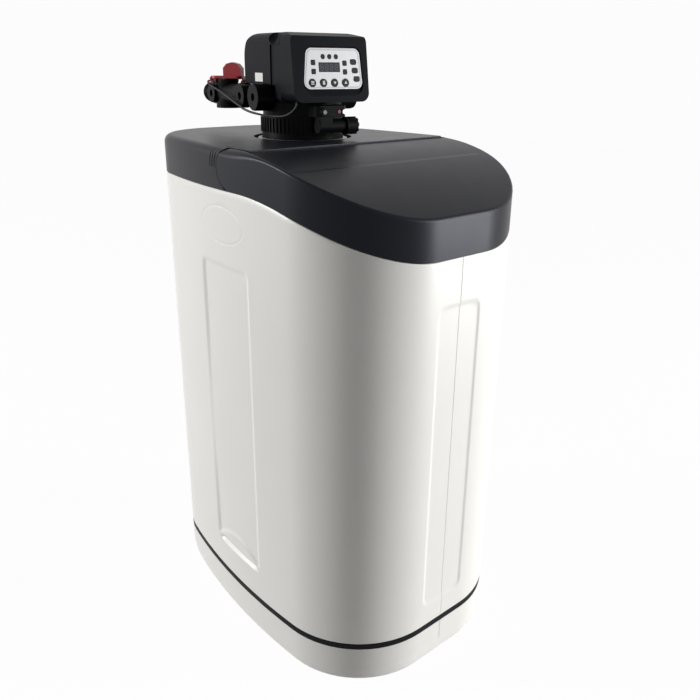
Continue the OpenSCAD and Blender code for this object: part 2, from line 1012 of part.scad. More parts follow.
module float_rod() {
    color("#c8c8c8")
    at_well() {
        translate([0, 0, rod_low])
            cylinder(h = rod_top - rod_low, d = rod_d);
        for (z = [float_z - stop_t, float_z + float_h + float_travel + fill_gap])
            translate([0, 0, z])
                cylinder(h = stop_t, r = stop_r);
    }
}

module brine_float() {
    color("#f0e6c8")
    at_well()
        tube(float_d / 2, rod_d / 2 + float_fit, float_z + fill_gap, float_z + float_h);
}

module salt_plate() {
    color("#e8e8e4")
    difference() {
        union() {
            intersection() {
                plan_slab(wall + side_recess_d + plate_gap, plate_z, plate_z + plate_t);
                translate([-body_w, front_y, 0])
                    cube([2 * body_w, tank_y - front_y - 40, cover_top]);
            }
            for (p = plate_legs)
                translate([p[0], tank_y - tank_r + p[1] + 20, floor_top])
                    cylinder(h = plate_h + cut, r = 7);
        }
        translate([0, tank_y, floor_top - cut])
            cylinder(h = plate_h + plate_t + 2 * cut, r = tank_r + plate_gap);
        at_well()
            translate([0, 0, floor_top - cut])
                cylinder(h = plate_h + plate_t + 2 * cut, r = well_r + plate_gap);
        for (x = [-2 : 2])
            for (y = [1 : 3])
                translate([x * plate_pitch, front_y + wall + y * plate_pitch, plate_z - cut])
                    cylinder(h = plate_t + 2 * cut, d = plate_hole_d);
    }
}

// Valve pieces
module tank_collar() {
    color("white")
    at_tank()
        tube(collar_r, flange_r + collar_gap, nut_z - collar_t, nut_z);
}

module base_nut() {
    color("#1b1c1f")
    at_valve() {
        tube(base_nut_d / 2, flange_r + collar_gap, nut_z, nut_z + nut_h);
        for (i = [0 : base_nut_ribs - 1])
            rotate([0, 0, i * 360 / base_nut_ribs])
                translate([base_nut_d / 2 - cut, -rib_w / 2, nut_z + nut_band])
                    cube([cut + rib_proud, rib_w, nut_h - nut_band - nut_lip]);
    }
}

// Both port sides: stub along X, tube along Y and a second boss
module port_side(s) {
    x_rod(min(s * stub_root, s * stub_end), max(s * stub_root, s * stub_end), stub_y, port_z, stub_r);
    y_rod(s * port_x, stub_y, joint_y, port_z, port_tube_d / 2);
    x_rod(min(s * port_x, s * stub_end), max(s * port_x, s * stub_end), boss2_y, port_z, boss2_r);
}

module port_side_bores(s) {
    y_rod(s * port_x, stub_y, joint_y + cut, port_z, port_bore_d / 2);
    x_rod(min(s * way_in, s * port_x), max(s * way_in, s * port_x), stub_y, port_z - way_drop, way_r);
    for (y = [stub_y, boss2_y])
        x_rod(min(s * (stub_end - plug_depth), s * (stub_end + cut)),
              max(s * (stub_end - plug_depth), s * (stub_end + cut)), y, port_z, plug_bore_r);
}

module valve_body() {
    color("#1b1c1f")
    at_valve()
        difference() {
            union() {
                translate([0, 0, spigot_z])
                    cylinder(h = neck_top - spigot_z + cut, r = spigot_r);
                translate([0, 0, neck_top])
                    cylinder(h = drum_z - neck_top + cut, r = flange_r);
                translate([0, 0, drum_z])
                    cylinder(h = deck_z - drum_z, r = drum_r);
                translate([-deck_w / 2, -deck_front, deck_z - deck_t])
                    cube([deck_w, deck_front + deck_back, deck_t]);
                for (s = [-1, 1])
                    port_side(s);
                translate([0, 0, block_low])
                    linear_extrude(block_top - block_low)
                        polygon(block_plan);
                x_rod(drain_root, drain_end, drain_y, drain_z, drain_r);
                x_rod(drain_end - cut, drain_end + drain_spigot_l, drain_y, drain_z, drain_spigot_r);
                translate([drain_root + 0.8, drain_y - drain_box[1] / 2 - 0.4, drain_z])
                    cube([drain_box[0], drain_box[1], block_low - drain_z + cut]);
            }
            translate([0, 0, spigot_z - cut])
                cylinder(h = riser_top - spigot_z + cut, r = riser_d / 2 + fill_gap);
            translate([0, 0, chamber_z])
                cylinder(h = deck_z - chamber_z + 25, r = chamber_r);
            translate([0, 0, spigot_z])
                cylinder(h = chamber_z - spigot_z + cut, d = riser_bore_d);
            translate([0, 0, spigot_z + 20])
                tube(spigot_r + cut, spigot_r - oring_d + 0.4, 0, oring_d + 0.4);
            translate([0, 0, spigot_z + 8])
                cylinder(h = oring_d + 0.4, r = riser_d / 2 + oring_d);
            for (s = [-1, 1])
                port_side_bores(s);
            y_rod(injector_x, block_front - cut, block_front + nozzle_l + 2, injector_z,
                  nozzle_r + screw_fit);
            x_rod(injector_x, drain_end + drain_spigot_l + cut, drain_y, drain_z, drain_bore_r);
            translate([injector_x, drain_y, drain_z])
                cylinder(h = injector_z - drain_z, r = nozzle_r);
            for (p = screw_at)
                translate([p[0], p[1], deck_z - 5])
                    cylinder(h = 6, r = screw_r + screw_fit);
            y_rod(flow_plug_x, block_front - cut, block_front + flow_plug_l + 1, injector_z, flow_plug_r);
            y_rod(block_screw_x, block_front - cut, block_front + 9, injector_z, screw_r + screw_fit);
        }
}

module neck_oring() {
    color("black")
    at_valve()
        translate([0, 0, spigot_z + 20.2 + oring_d / 2])
            rotate_extrude()
                translate([neck_bore_d / 2 - oring_d / 2 - 0.05, 0])
                    circle(d = oring_d - 0.1);
}

module riser_oring() {
    color("black")
    at_valve()
        translate([0, 0, spigot_z + 8.2 + oring_d / 2])
            rotate_extrude()
                translate([riser_d / 2 + oring_d / 2, 0])
                    circle(d = oring_d - 0.1);
}

module disc_ports(z0, h) {
    for (a = [0, 120, 240])
        rotate([0, 0, a])
            translate([disc_r * 0.58, 0, z0 - cut])
                cylinder(h = h + 2 * cut, r = disc_r * 0.2);
}

module fixed_disc() {
    color("#f4f1ea")
    at_valve()
        difference() {
            translate([0, 0, chamber_z])
                cylinder(h = fixed_t, r = disc_r);
            disc_ports(chamber_z, fixed_t);
            translate([0, 0, chamber_z - cut])
                cylinder(h = fixed_t + 2 * cut, r = 5);
        }
}

module moving_disc() {
    color("#e7e3da")
    at_valve()
        difference() {
            translate([0, 0, moving_z])
                cylinder(h = moving_t, r = disc_r - 1);
            translate([0, disc_r * 0.58, moving_z - cut])
                cylinder(h = moving_t + 2 * cut, r = disc_r * 0.2);
        }
}

module chamber_cover() {
    color("#26272b")
    at_valve()
        difference() {
            translate([0, 0, deck_z])
                cylinder(h = cover_plate_t, r = cover_plate_r);
            translate([0, 0, deck_z - cut])
                cylinder(h = cover_plate_t + 2 * cut, r = spindle_d / 2 + spindle_fit);
            for (p = screw_at)
                translate([p[0], p[1], deck_z - cut])
                    cylinder(h = cover_plate_t + 2 * cut, r = screw_r + screw_fit);
            for (x = [-post_x, post_x])
                for (y = post_y)
                    translate([x, y, deck_z - cut])
                        cylinder(h = cover_plate_t + 2 * cut, r = post_r + fill_gap);
        }
}

module spindle() {
    color("#d8d8d8")
    at_valve() {
        translate([0, 0, spindle_z])
            cylinder(h = spindle_foot_t, r = spindle_foot_r);
        translate([0, 0, spindle_z])
            cylinder(h = spindle_top - spindle_z, d = spindle_d);
    }
}

// Gear with straight-sided teeth, one tooth pointing along +X
module gear_plan(teeth) {
    r = tooth_m * teeth / 2;
    pitch = 360 / teeth;
    polygon([for (i = [0 : teeth - 1])
        for (p = [[-0.29, -1.2], [-0.11, 0.85], [0.11, 0.85], [0.29, -1.2]])
            let (a = (i + p[0]) * pitch, q = r + p[1] * tooth_m)
            [q * cos(a), q * sin(a)]]);
}

module main_gear() {
    color("#e9e6df")
    at_valve()
        translate([0, 0, gear_z])
            difference() {
                rotate([0, 0, 90])
                    linear_extrude(gear_t)
                        gear_plan(gear_teeth);
                translate([0, 0, -cut])
                    cylinder(h = gear_t + 2 * cut, d = spindle_d);
                for (i = [0 : 5])
                    rotate([0, 0, i * 60])
                        translate([gear_r * 0.6, 0, -cut])
                            cylinder(h = gear_t + 2 * cut, r = gear_r * 0.14);
            }
}

module drive_plate() {
    color("#2a2b2f")
    at_valve()
        difference() {
            union() {
                translate([-head_w / 2 + head_wall, -drive_front, drive_plate_z])
                    cube([head_w - 2 * head_wall, drive_front + drive_back, drive_plate_t]);
                for (x = [-post_x, post_x])
                    for (y = post_y)
                        translate([x, y, deck_z])
                            cylinder(h = drive_plate_z - deck_z + cut, r = post_r);
            }
            translate([0, 0, drive_plate_z - cut])
                cylinder(h = drive_plate_t + 2 * cut, r = spindle_d / 2 + spindle_fit);
            translate([0, motor_y, drive_plate_z - cut])
                cylinder(h = drive_plate_t + 2 * cut, r = shaft_r + 0.5);
        }
}

module drive_motor() {
    color("#9a9ca0")
    at_valve()
        translate([0, motor_y, motor_z])
            difference() {
                union() {
                    cylinder(h = motor_h, d = motor_d);
                    translate([-motor_d / 2 - 6, -3, 0])
                        cube([motor_d + 12, 6, 2]);
                }
                translate([0, 0, -cut])
                    cylinder(h = motor_h * 0.6, r = shaft_r + shaft_fit);
            }
}

module motor_pinion() {
    color("#e9e6df")
    at_valve()
        translate([0, motor_y, gear_z]) {
            linear_extrude(gear_t)
                gear_plan(pinion_teeth);
            translate([0, 0, -1])
                cylinder(h = motor_z - gear_z + motor_h * 0.5, r = shaft_r);
        }
}

// Control head
module head_section(inset) {
    translate([0, 0, head_z + head_h / 2])
        rotate([90, 0, 0])
            linear_extrude(400, center = true)
                round_rect(head_w - 2 * inset, head_h - 2 * inset, head_corner_r - inset);
}

// Side outline of the rear housing: rounded rear top, raised underside behind the step
module housing_side(inset, front, bottom) {
    r = head_back_r - inset;
    across(head_w + 20)
        polygon(concat(
            [[-front, bottom], [head_step_y - inset, bottom], [head_step_y - inset, rear_low - cut]],
            [[head_step_y - inset, inset > 0 ? bottom : rear_low]],
            [[head_rear - inset, inset > 0 ? bottom : rear_low]],
            arc(head_rear - head_back_r, head_top - head_back_r, r, 0, 90, 12),
            [[-front, head_top - inset]]));
}

module rear_housing() {
    color("#2b2c31")
    at_valve()
        difference() {
            intersection() {
                head_section(0);
                housing_side(0, head_joint, head_z);
            }
            intersection() {
                difference() {
                    head_section(head_wall);
                    screw_dip(dip_r + head_wall);
                }
                translate([-head_w, -head_joint - cut, head_z - cut])
                    cube([2 * head_w, head_joint + head_rear + cut - head_wall, head_h]);
                across(head_w + 20)
                    polygon(concat(
                        [[-head_joint - cut, head_z + head_wall],
                         [head_step_y - head_wall, head_z + head_wall],
                         [head_step_y - head_wall, head_z - cut],
                         [head_rear - head_wall, head_z - cut]],
                        arc(head_rear - head_back_r, head_top - head_back_r,
                            head_back_r - head_wall, 0, 90, 12),
                        [[-head_joint - cut, head_top - head_wall]]));
            }
            // Shallow vertical panels beside the joint
            for (s = [-1, 1])
                translate([s > 0 ? head_w / 2 - side_panel_d : -head_w / 2 - cut, -head_joint - cut,
                           head_z - cut])
                    cube([side_panel_d + cut, side_panel_l + cut, head_h - dip_r + 2]);
            screw_dip(dip_r);
            chamber_room();
        }
}

// Round dips in the top edges that lead to the housing screws
module screw_dip(r) {
    for (s = [-1, 1])
        translate([s * (head_w / 2 + dip_out), dip_y, head_top + cut])
            sphere(r);
}

// Room in the head's floor for the chamber cover and its screws
module chamber_room() {
    translate([0, 0, head_z - cut])
        cylinder(h = 7, r = cover_plate_r + room_gap);
}

function unit(v) = v / norm(v);

// A polygon whose corner at point i is rounded by radius r[i]
function rounded(p, r, n) =
    let (m = len(p))
    [for (i = [0 : m - 1])
        let (a = unit(p[(i + m - 1) % m] - p[i]),
             b = unit(p[(i + 1) % m] - p[i]),
             half = acos(a * b) / 2,
             c = p[i] + unit(a + b) * r[i] / sin(half),
             f = p[i] + a * r[i] / tan(half) - c,
             turn = 180 - 2 * half)
        for (k = [0 : n])
            let (w = turn * k / n)
            c + [f[0] * cos(w) - f[1] * sin(w), f[0] * sin(w) + f[1] * cos(w)]];

// Outline of the silver plate, wider below, grown at its sides and top, and lowered at its lower edge
module panel_outline(grow, lower, low_r) {
    x0 = panel_x - panel_w / 2 - grow;
    x1 = panel_x + panel_w / 2 + grow;
    u0 = panel_low - lower;
    u1 = panel_low + panel_h + grow;
    polygon(rounded([[x0, u0], [x1, u0], [x1 - panel_lean_right, u1], [x0 + panel_lean_left, u1]],
                    [low_r, low_r, panel_r + grow, panel_r + grow], panel_steps));
}

module face_openings(gap) {
    for (x = button_x)
        translate([x, button_u])
            circle(button_d / 2 + gap);
    translate([display_x, display_u])
        square([display_w + 2 * gap, display_h + 2 * gap], center = true);
    for (x = led_x)
        translate([x, led_u])
            circle(led_d / 2 + gap);
    for (p = square_at)
        translate(p)
            round_rect(square_w + 2 * gap, square_w + 2 * gap, square_r + gap);
    for (p = status_at)
        translate(p)
            round_rect(status_w + 2 * gap, status_h + 2 * gap, status_r + gap);
}

module front_half(inset, back) {
    intersection() {
        head_section(inset);
        difference() {
            translate([-head_w, -head_front - 20, head_z - cut])
                cube([2 * head_w, head_front + 20 - back, head_h + 2 * cut]);
            at_face()
                translate([-head_w, -head_h, -inset])
                    cube([2 * head_w, 3 * head_h, 60]);
            translate([-head_w, -head_joint - joint_line, head_top - inset])
                rotate([top_slope, 0, 0])
                    translate([0, -head_front, 0])
                        cube([2 * head_w, head_front, 40]);
        }
    }
}

// A ring inside the head that starts before the joint line
module head_tongue(inset, back) {
    difference() {
        front_half(inset, back);
        front_half(2 * head_wall + tongue_in, back - cut);
        translate([-head_w, -head_front - 30, head_z - cut])
            cube([2 * head_w, head_front + 30 - head_joint - front_tongue, head_h + 2 * cut]);
    }
}

module front_cover() {
    color("#2b2c31")
    at_valve()
        difference() {
            union() {
                difference() {
                    front_half(0, head_joint + joint_line);
                    difference() {
                        front_half(head_wall, head_joint - 10);
                        at_face()
                            translate([-head_w, -head_h, face_in])
                                cube([2 * head_w, 3 * head_h, 60]);
                    }
                }
                head_tongue(head_wall + tongue_in, head_joint - front_tongue);
                head_tongue(head_wall / 2, head_joint + joint_line);
                for (x = [-1, 1])
                    for (u = board_u)
                        at_face()
                            translate([x * (board_w / 2 - 4), u < 30 ? u + 4 : u - 4, board_z])
                                cylinder(h = face_in - board_z + cut / 2, r = board_post_r);
            }
            // Pocket for the silver plate, with a lip that slopes out below it
            at_face()
                difference() {
                    translate([0, 0, -pocket_d])
                        linear_extrude(10)
                            panel_outline(pocket_margin, lip_h, lip_r);
                    translate([-head_w, panel_low - 0.4, -pocket_d])
                        rotate([-lip_angle, 0, 0])
                            translate([0, -head_h, -head_h])
                                cube([2 * head_w, head_h, head_h]);
                }
            screw_dip(dip_r + head_wall + part_gap);
            at_face()
                translate([0, 0, -20])
                    linear_extrude(30)
                        face_openings(part_gap);
            chamber_room();
            translate([cable_end[0], cable_end[1], head_z - cut])
                cylinder(h = head_wall + 2 * cut, r = cable_d);
        }
}

module circuit_board() {
    color("#1f5a36")
    at_valve()
        at_face()
            translate([-board_w / 2, board_u[0], board_z - board_t])
                cube([board_w, board_u[1] - board_u[0], board_t]);
}

module panel_plate() {
    color("silver")
    at_valve()
        at_face()
            translate([0, 0, -pocket_d])
                linear_extrude(panel_t)
                    difference() {
                        panel_outline(0, 0, panel_r);
                        face_openings(part_gap);
                    }
}

module display() {
    color("#3a3d42")
    at_valve()
        at_face()
            translate([display_x - display_w / 2, display_u - display_h / 2, board_z])
                cube([display_w, display_h, plate_top - board_z - 0.2]);
}

module indicator_lenses() {
    color("#15161a")
    at_valve()
        at_face()
            translate([0, 0, board_z])
                linear_extrude(plate_top - board_z + 0.2) {
                    for (x = led_x)
                        translate([x, led_u])
                            circle(led_d / 2);
                    for (p = square_at)
                        translate(p)
                            round_rect(square_w, square_w, square_r);
                }
}

module status_lenses() {
    color("#15161a")
    at_valve()
        at_face()
            translate([0, 0, board_z])
                linear_extrude(plate_top - board_z + 0.2)
                    for (p = status_at)
                        translate(p)
                            round_rect(status_w, status_h, status_r);
}

module button(i) {
    color("#15161a")
    at_valve()
        at_face()
            translate([button_x[i], button_u, 0]) {
                translate([0, 0, face_in - button_rest - flange_t])
                    cylinder(h = flange_t, r = button_flange_r);
                translate([0, 0, face_in - button_rest - flange_t])
                    cylinder(h = plate_top + button_proud - face_in + button_rest + flange_t,
                             d = button_d);
                translate([0, 0, board_z + button_travel + 0.2])
                    cylinder(h = face_in - board_z - button_travel - 1, r = stem_r);
            }
}

module button_menu() {
    button(0);
}

module button_manual() {
    button(1);
}

module button_down() {
    button(2);
}

module button_up() {
    button(3);
}

module side_label() {
    color("white")
    at_valve()
        translate([-head_w / 2 - label_t, 6.5, rear_low + 0.8])
            cube([label_t, label_size[0], label_size[1]]);
}

// Plugs, injector and drain

module plug(s, y, r) {
    mirror([s < 0 ? 1 : 0, 0, 0])
        difference() {
            union() {
                x_rod(stub_end - plug_depth + 2, stub_end, y, port_z, plug_bore_r - 0.1);
                x_rod(stub_end, stub_end + plug_t, y, port_z, r - plug_rim);
            }
            translate([stub_end - 4, y, port_z])
                rotate([0, 90, 0])
                    cylinder(h = 10, r = hex_r, $fn = 6);
        }
}

module port_plugs() {
    color("#232428")
    at_valve() {
        for (s = [-1, 1]) {
            plug(s, stub_y, stub_r);
            plug(s, boss2_y, boss2_r);
        }
        plug(-1, boss3_y, boss3_r);
    }
}

module injector_nozzle() {
    color("#c9c9c9")
    at_valve()
        y_rod(injector_x, block_front - injector_cap_t - 1, block_front + nozzle_l, injector_z, nozzle_r);
}

module injector_cap() {
    color("#1b1c1f")
    at_valve()
        difference() {
            y_rod(injector_x, block_front - injector_cap_t, block_front, injector_z, injector_r);
            y_rod(injector_x, block_front - injector_cap_t - cut, block_front + cut, injector_z,
                  nozzle_r + screw_fit);
        }
}

module flow_plug() {
    color("#a83a42")
    at_valve()
        y_rod(flow_plug_x, block_front - 0.8, block_front + flow_plug_l, injector_z,
              flow_plug_r - screw_fit);
}

module drain_nut() {
    color("#1b1c1f")
    at_valve()
        translate([drain_end + part_gap, drain_y, drain_z])
            rotate([0, 90, 0])
                difference() {
                    cylinder(h = drain_nut_l, r = drain_nut_r);
                    translate([0, 0, -cut])
                        cylinder(h = drain_nut_l + 2 * cut, r = drain_spigot_r + screw_fit);
                    for (i = [0 : 8])
                        rotate([0, 0, i * 40])
                            translate([drain_nut_r - 1.4, -1.6, 3])
                                cube([4, 3.2, drain_nut_l]);
                }
}

// Bypass
module bypass_body() {
    color("#1e1f22")
    at_valve()
        difference() {
            union() {
                for (s = [-1, 1]) {
                    y_rod(s * port_x, joint_y + joint_gap, bypass_end, port_z, port_tube_d / 2);
                    y_rod(s * port_x, joint_y + joint_gap, joint_y + 9, port_z, port_tube_d / 2 + 2.5);
                    y_rod(s * port_x, bypass_end - end_ring, bypass_end, port_z, port_tube_d / 2 + 2);
                    y_rod(s * port_x, bypass_end, bypass_end + pipe_end_l, port_z, pipe_end_d / 2);
                }
                x_rod(-port_x, port_x, barrel_y, port_z, 9);
                x_rod(-stub_end, -port_x, boss3_y, port_z, boss3_r);
                translate([-port_x, barrel_y, 0])
                    rotate_extrude()
                        polygon([[0, barrel_low],
                                 [barrel_flange_r, barrel_low],
                                 [barrel_flange_r, barrel_low + 4],
                                 [rotor_r + barrel_wall, port_z - 6],
                                 [rotor_r + barrel_wall - 0.5, port_z + 6],
                                 [rotor_r + barrel_wall + 2, barrel_top - 3],
                                 [rotor_r + barrel_wall + 2, barrel_top],
                                 [0, barrel_top]]);
            }
            translate([-port_x, barrel_y, rotor_low - fill_gap])
                cylinder(h = barrel_top, r = rotor_bore_r);
            for (s = [-1, 1]) {
                y_rod(s * port_x, joint_y - cut, barrel_y - 20, port_z, port_bore_d / 2);
                y_rod(s * port_x, barrel_y + 20, bypass_end + pipe_end_l + cut, port_z, port_bore_d / 2);
                y_rod(s * port_x, barrel_y - 30, barrel_y + 30, port_z, rotor_port_d / 2);
            }
            x_rod(-port_x, port_x, barrel_y, port_z, rotor_port_d / 2);
            x_rod(-stub_end - cut, -stub_end + plug_depth, boss3_y, port_z, plug_bore_r);
        }
    color("#1e1f22")
    at_valve()
        impeller_bearing();
}

// Bar across the near pipe end that carries the impeller pin
module impeller_bearing() {
    difference() {
        translate([-port_x - port_bore_d / 2 - cut, bearing_y, port_z - bearing_h / 2])
            cube([port_bore_d + 2 * cut, bearing_t, bearing_h]);
        y_rod(-port_x, bearing_y - cut, bearing_y + bearing_t + cut, port_z,
              impeller_pin_r + shaft_fit);
    }
}

module at_barrel() {
    translate([-port_x, barrel_y, 0])
        children();
}

module bypass_rotor() {
    color("#cfcfcf")
    at_valve()
        at_barrel()
            difference() {
                translate([0, 0, rotor_low])
                    cylinder(h = rotor_top - rotor_low, r = rotor_r);
                y_rod(0, -rotor_d, rotor_d, port_z, rotor_port_d / 2);
                x_rod(0, rotor_d, 0, port_z, rotor_port_d / 2);
            }
}

module bypass_handle() {
    color("#a83a42")
    at_valve()
        at_barrel()
            rotate([0, 0, handle_turn]) {
                translate([0, 0, rotor_top])
                    linear_extrude(handle_t)
                        round_rect(handle_l, handle_w, handle_w / 2 - 1);
                translate([grip_out, grip_t / 2, rotor_top + handle_t - cut])
                    rotate([90, 0, 0])
                        linear_extrude(grip_t)
                            polygon([[-grip_w / 2, 0], [grip_w / 2, 0], [grip_w / 2, grip_h * 0.6],
                                     [grip_w * 0.3, grip_h * 0.9], [0, grip_h],
                                     [-grip_w * 0.3, grip_h * 0.9], [-grip_w / 2, grip_h * 0.6]]);
                for (x = [-1, 1])
                    translate([x * (handle_l / 2 - 2.5), 0, rotor_top + handle_t - hook_r])
                        rotate([90, 0, 0])
                            difference() {
                                translate([0, 0, -handle_w * 0.3])
                                    cylinder(h = handle_w * 0.6, r = hook_r);
                                translate([0, 0, -handle_w])
                                    cylinder(h = 2 * handle_w, r = hook_r - 2.4);
                                translate([-x * hook_r - hook_r, -hook_r * 2, -handle_w])
                                    cube([2 * hook_r, 2 * hook_r, 2 * handle_w]);
                            }
            }
}

module flow_impeller() {
    color("#e0dccf")
    at_valve()
        translate([-port_x, impeller_y, port_z]) {
            y_rod(0, 0, impeller_l + bearing_t, 0, impeller_pin_r);
            for (i = [0 : 3])
                rotate([0, i * 90, 0])
                    translate([0, 0, -0.8])
                        cube([impeller_r, impeller_l, 1.6]);
        }
}

module flow_sensor() {
    color("#26272b")
    at_valve()
        difference() {
            translate([-port_x - 6, sensor_y, port_z])
                cube([12, sensor_len, port_tube_d / 2 + 6]);
            y_rod(-port_x, sensor_y - cut, sensor_y + sensor_len + cut, port_z,
                  port_tube_d / 2 + sensor_seat);
            x_rod(-stub_end, -port_x + cut, boss3_y, port_z, boss3_r + sensor_seat);
        }
}

// Cable swept along its route
function cable_dir(i) =
    unit(cable_path[min(i + 1, len(cable_path) - 1)] - cable_path[max(i - 1, 0)]);
function cable_ring(i) =
    let (d = cable_dir(i),
         u = unit(cross(d, abs(d[2]) > 0.9 ? [0, 1, 0] : [0, 0, 1])),
         v = cross(u, d))
    [for (k = [0 : cable_sides - 1])
        let (a = k * 360 / cable_sides)
        cable_path[i] + cable_d / 2 * (u * cos(a) + v * sin(a))];

module sensor_cable() {
    n = len(cable_path);
    m = cable_sides;
    color("#5a5b60")
    at_valve()
        polyhedron(
            points = [for (i = [0 : n - 1]) each cable_ring(i)],
            faces = concat(
                [[for (k = [m - 1 : -1 : 0]) k]],
                [[for (k = [0 : m - 1]) (n - 1) * m + k]],
                [for (i = [0 : n - 2])
                    for (k = [0 : m - 1])
                        each [[i * m + k, i * m + (k + 1) % m, (i + 1) * m + k],
                              [i * m + (k + 1) % m, (i + 1) * m + (k + 1) % m, (i + 1) * m + k]]]));
}

module valve_screws() {
    color("#b8babd")
    at_valve() {
        for (p = screw_at)
            translate([p[0], p[1], deck_z - 4.5]) {
                cylinder(h = 4.5 + cover_plate_t, r = screw_r);
                translate([0, 0, 4.5 + cover_plate_t])
                    cylinder(h = screw_head_t, r = screw_r + 1.6);
            }
        y_rod(block_screw_x, block_front - screw_head_t, block_front + 8, injector_z, screw_r);
        y_rod(block_screw_x, block_front - screw_head_t, block_front, injector_z, screw_r + 0.8);
    }
}

cabinet_shell();
base_tray();
trim_band();
rear_cover();
salt_lid();
lid_pins();
tank_boot();
resin_tank();
resin_bed();
riser_tube();
bottom_distributor();
top_distributor();
brine_well();
brine_well_cap();
air_check();
float_rod();
brine_float();
salt_plate();
tank_collar();
base_nut();
valve_body();
neck_oring();
riser_oring();
fixed_disc();
moving_disc();
chamber_cover();
spindle();
main_gear();
drive_plate();
drive_motor();
motor_pinion();
rear_housing();
front_cover();
circuit_board();
panel_plate();
display();
indicator_lenses();
status_lenses();
button_menu();
button_manual();
button_down();
button_up();
side_label();
port_plugs();
injector_nozzle();
injector_cap();
flow_plug();
drain_nut();
bypass_body();
bypass_rotor();
bypass_handle();
flow_impeller();
flow_sensor();
sensor_cable();
valve_screws();
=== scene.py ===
"""Looks of a cabinet water softener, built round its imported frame.

Every piece is in metres, in the frame's own axes: +Z up, and the front faces -Y.
Sizes in the classes are in millimetres, as they are in the part's source, but for the studio's.
"""

import json
import logging
import math
from dataclasses import dataclass
from enum import Enum
from typing import Callable, Dict, List, Optional, Sequence, Tuple, Union

import bmesh
import bpy
import numpy as np
from mathutils import Matrix, Vector

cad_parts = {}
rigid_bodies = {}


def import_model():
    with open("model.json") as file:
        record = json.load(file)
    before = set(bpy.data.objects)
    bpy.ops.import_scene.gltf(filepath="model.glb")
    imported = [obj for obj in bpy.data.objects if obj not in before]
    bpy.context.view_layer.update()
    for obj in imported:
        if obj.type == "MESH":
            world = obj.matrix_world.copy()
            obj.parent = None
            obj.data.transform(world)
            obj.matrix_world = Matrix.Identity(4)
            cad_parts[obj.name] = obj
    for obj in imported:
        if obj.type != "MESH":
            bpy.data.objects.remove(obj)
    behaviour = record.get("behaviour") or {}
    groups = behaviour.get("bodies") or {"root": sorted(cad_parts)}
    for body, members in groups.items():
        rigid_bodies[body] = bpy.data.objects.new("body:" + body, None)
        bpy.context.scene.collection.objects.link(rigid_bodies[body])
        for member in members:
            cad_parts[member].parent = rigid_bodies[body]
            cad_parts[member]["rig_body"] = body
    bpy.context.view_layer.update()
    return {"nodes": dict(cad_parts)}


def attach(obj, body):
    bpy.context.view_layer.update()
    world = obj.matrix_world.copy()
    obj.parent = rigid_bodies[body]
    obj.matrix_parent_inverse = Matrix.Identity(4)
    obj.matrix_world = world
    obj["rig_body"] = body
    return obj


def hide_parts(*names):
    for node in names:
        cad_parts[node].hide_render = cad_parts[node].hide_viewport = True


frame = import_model()

MM = 0.001
WELD_M = 2e-6
FLAT_DEG = 0.6
Point = Tuple[float, float, float]
Colour = Tuple[float, float, float]
Number = Union[int, float]
log = logging.getLogger("softener")


# Shader maths

class Term:
    """A shader socket that takes part in Python expressions."""

    def __init__(self, graph: "Graph", socket: bpy.types.NodeSocket) -> None:
        """Wraps one output socket of a graph."""
        self.graph = graph
        self.socket = socket

    def _math(self, operation: str, first: object, second: object) -> "Term":
        """Adds a Math node for two terms or numbers."""
        return self.graph.node("ShaderNodeMath", {"operation": operation}, {0: first, 1: second})

    def __add__(self, other: object) -> "Term":
        """self + other"""
        return self._math("ADD", self, other)

    __radd__ = __add__

    def __sub__(self, other: object) -> "Term":
        """self - other"""
        return self._math("SUBTRACT", self, other)

    def __rsub__(self, other: object) -> "Term":
        """other - self"""
        return self._math("SUBTRACT", other, self)

    def __mul__(self, other: object) -> "Term":
        """self * other"""
        return self._math("MULTIPLY", self, other)

    __rmul__ = __mul__

    def least(self, other: object) -> "Term":
        """The smaller of two terms."""
        return self._math("MINIMUM", self, other)


class Graph:
    """A node tree that is filled by one method."""

    def __init__(self, tree: bpy.types.NodeTree) -> None:
        """Empties a shader tree and takes it over."""
        self.tree = tree
        tree.nodes.clear()

    def node(self, kind: str, settings: Optional[Dict[str, object]] = None,
             sockets: Optional[Dict[Union[int, str], object]] = None,
             out: Union[int, str] = 0) -> Term:
        """Adds a node.

        Args:
            kind: The node's type name.
            settings: Properties of the node, and "stops" for a ramp's stops.
            sockets: Values or terms for its inputs, by name or number.
            out: The output that the returned term wraps.

        Returns:
            A term for the named output, or for the node's first input if it has no output.
        """
        made = self.tree.nodes.new(kind)
        for key, value in (settings or {}).items():
            if key == "stops":
                for i, (place, shade) in enumerate(value):
                    stop = made.color_ramp.elements[i] if i < 2 else made.color_ramp.elements.new(place)
                    stop.position = place
                    stop.color = (*shade, 1.0)
            else:
                setattr(made, key, value)
        for key, value in (sockets or {}).items():
            if isinstance(value, Term):
                self.tree.links.new(value.socket, made.inputs[key])
            else:
                made.inputs[key].default_value = value
        return Term(self, made.outputs[out] if len(made.outputs) else made.inputs[0])


def linear(colour: Colour) -> Tuple[float, float, float, float]:
    """Turns a screen colour from 0 to 255 into a linear one with alpha."""
    def one(v: float) -> float:
        """Turns one channel."""
        c = v / 255
        return c / 12.92 if c <= 0.04045 else ((c + 0.055) / 1.055) ** 2.4
    return (one(colour[0]), one(colour[1]), one(colour[2]), 1.0)


# Finishes

MADE: Dict[str, bpy.types.Material] = {}


class Grain(Enum):
    """How the fine surface of a finish is made."""

    SATIN = "satin"
    PEBBLED = "pebbled"
    BRUSHED = "brushed"
    WOUND = "wound"


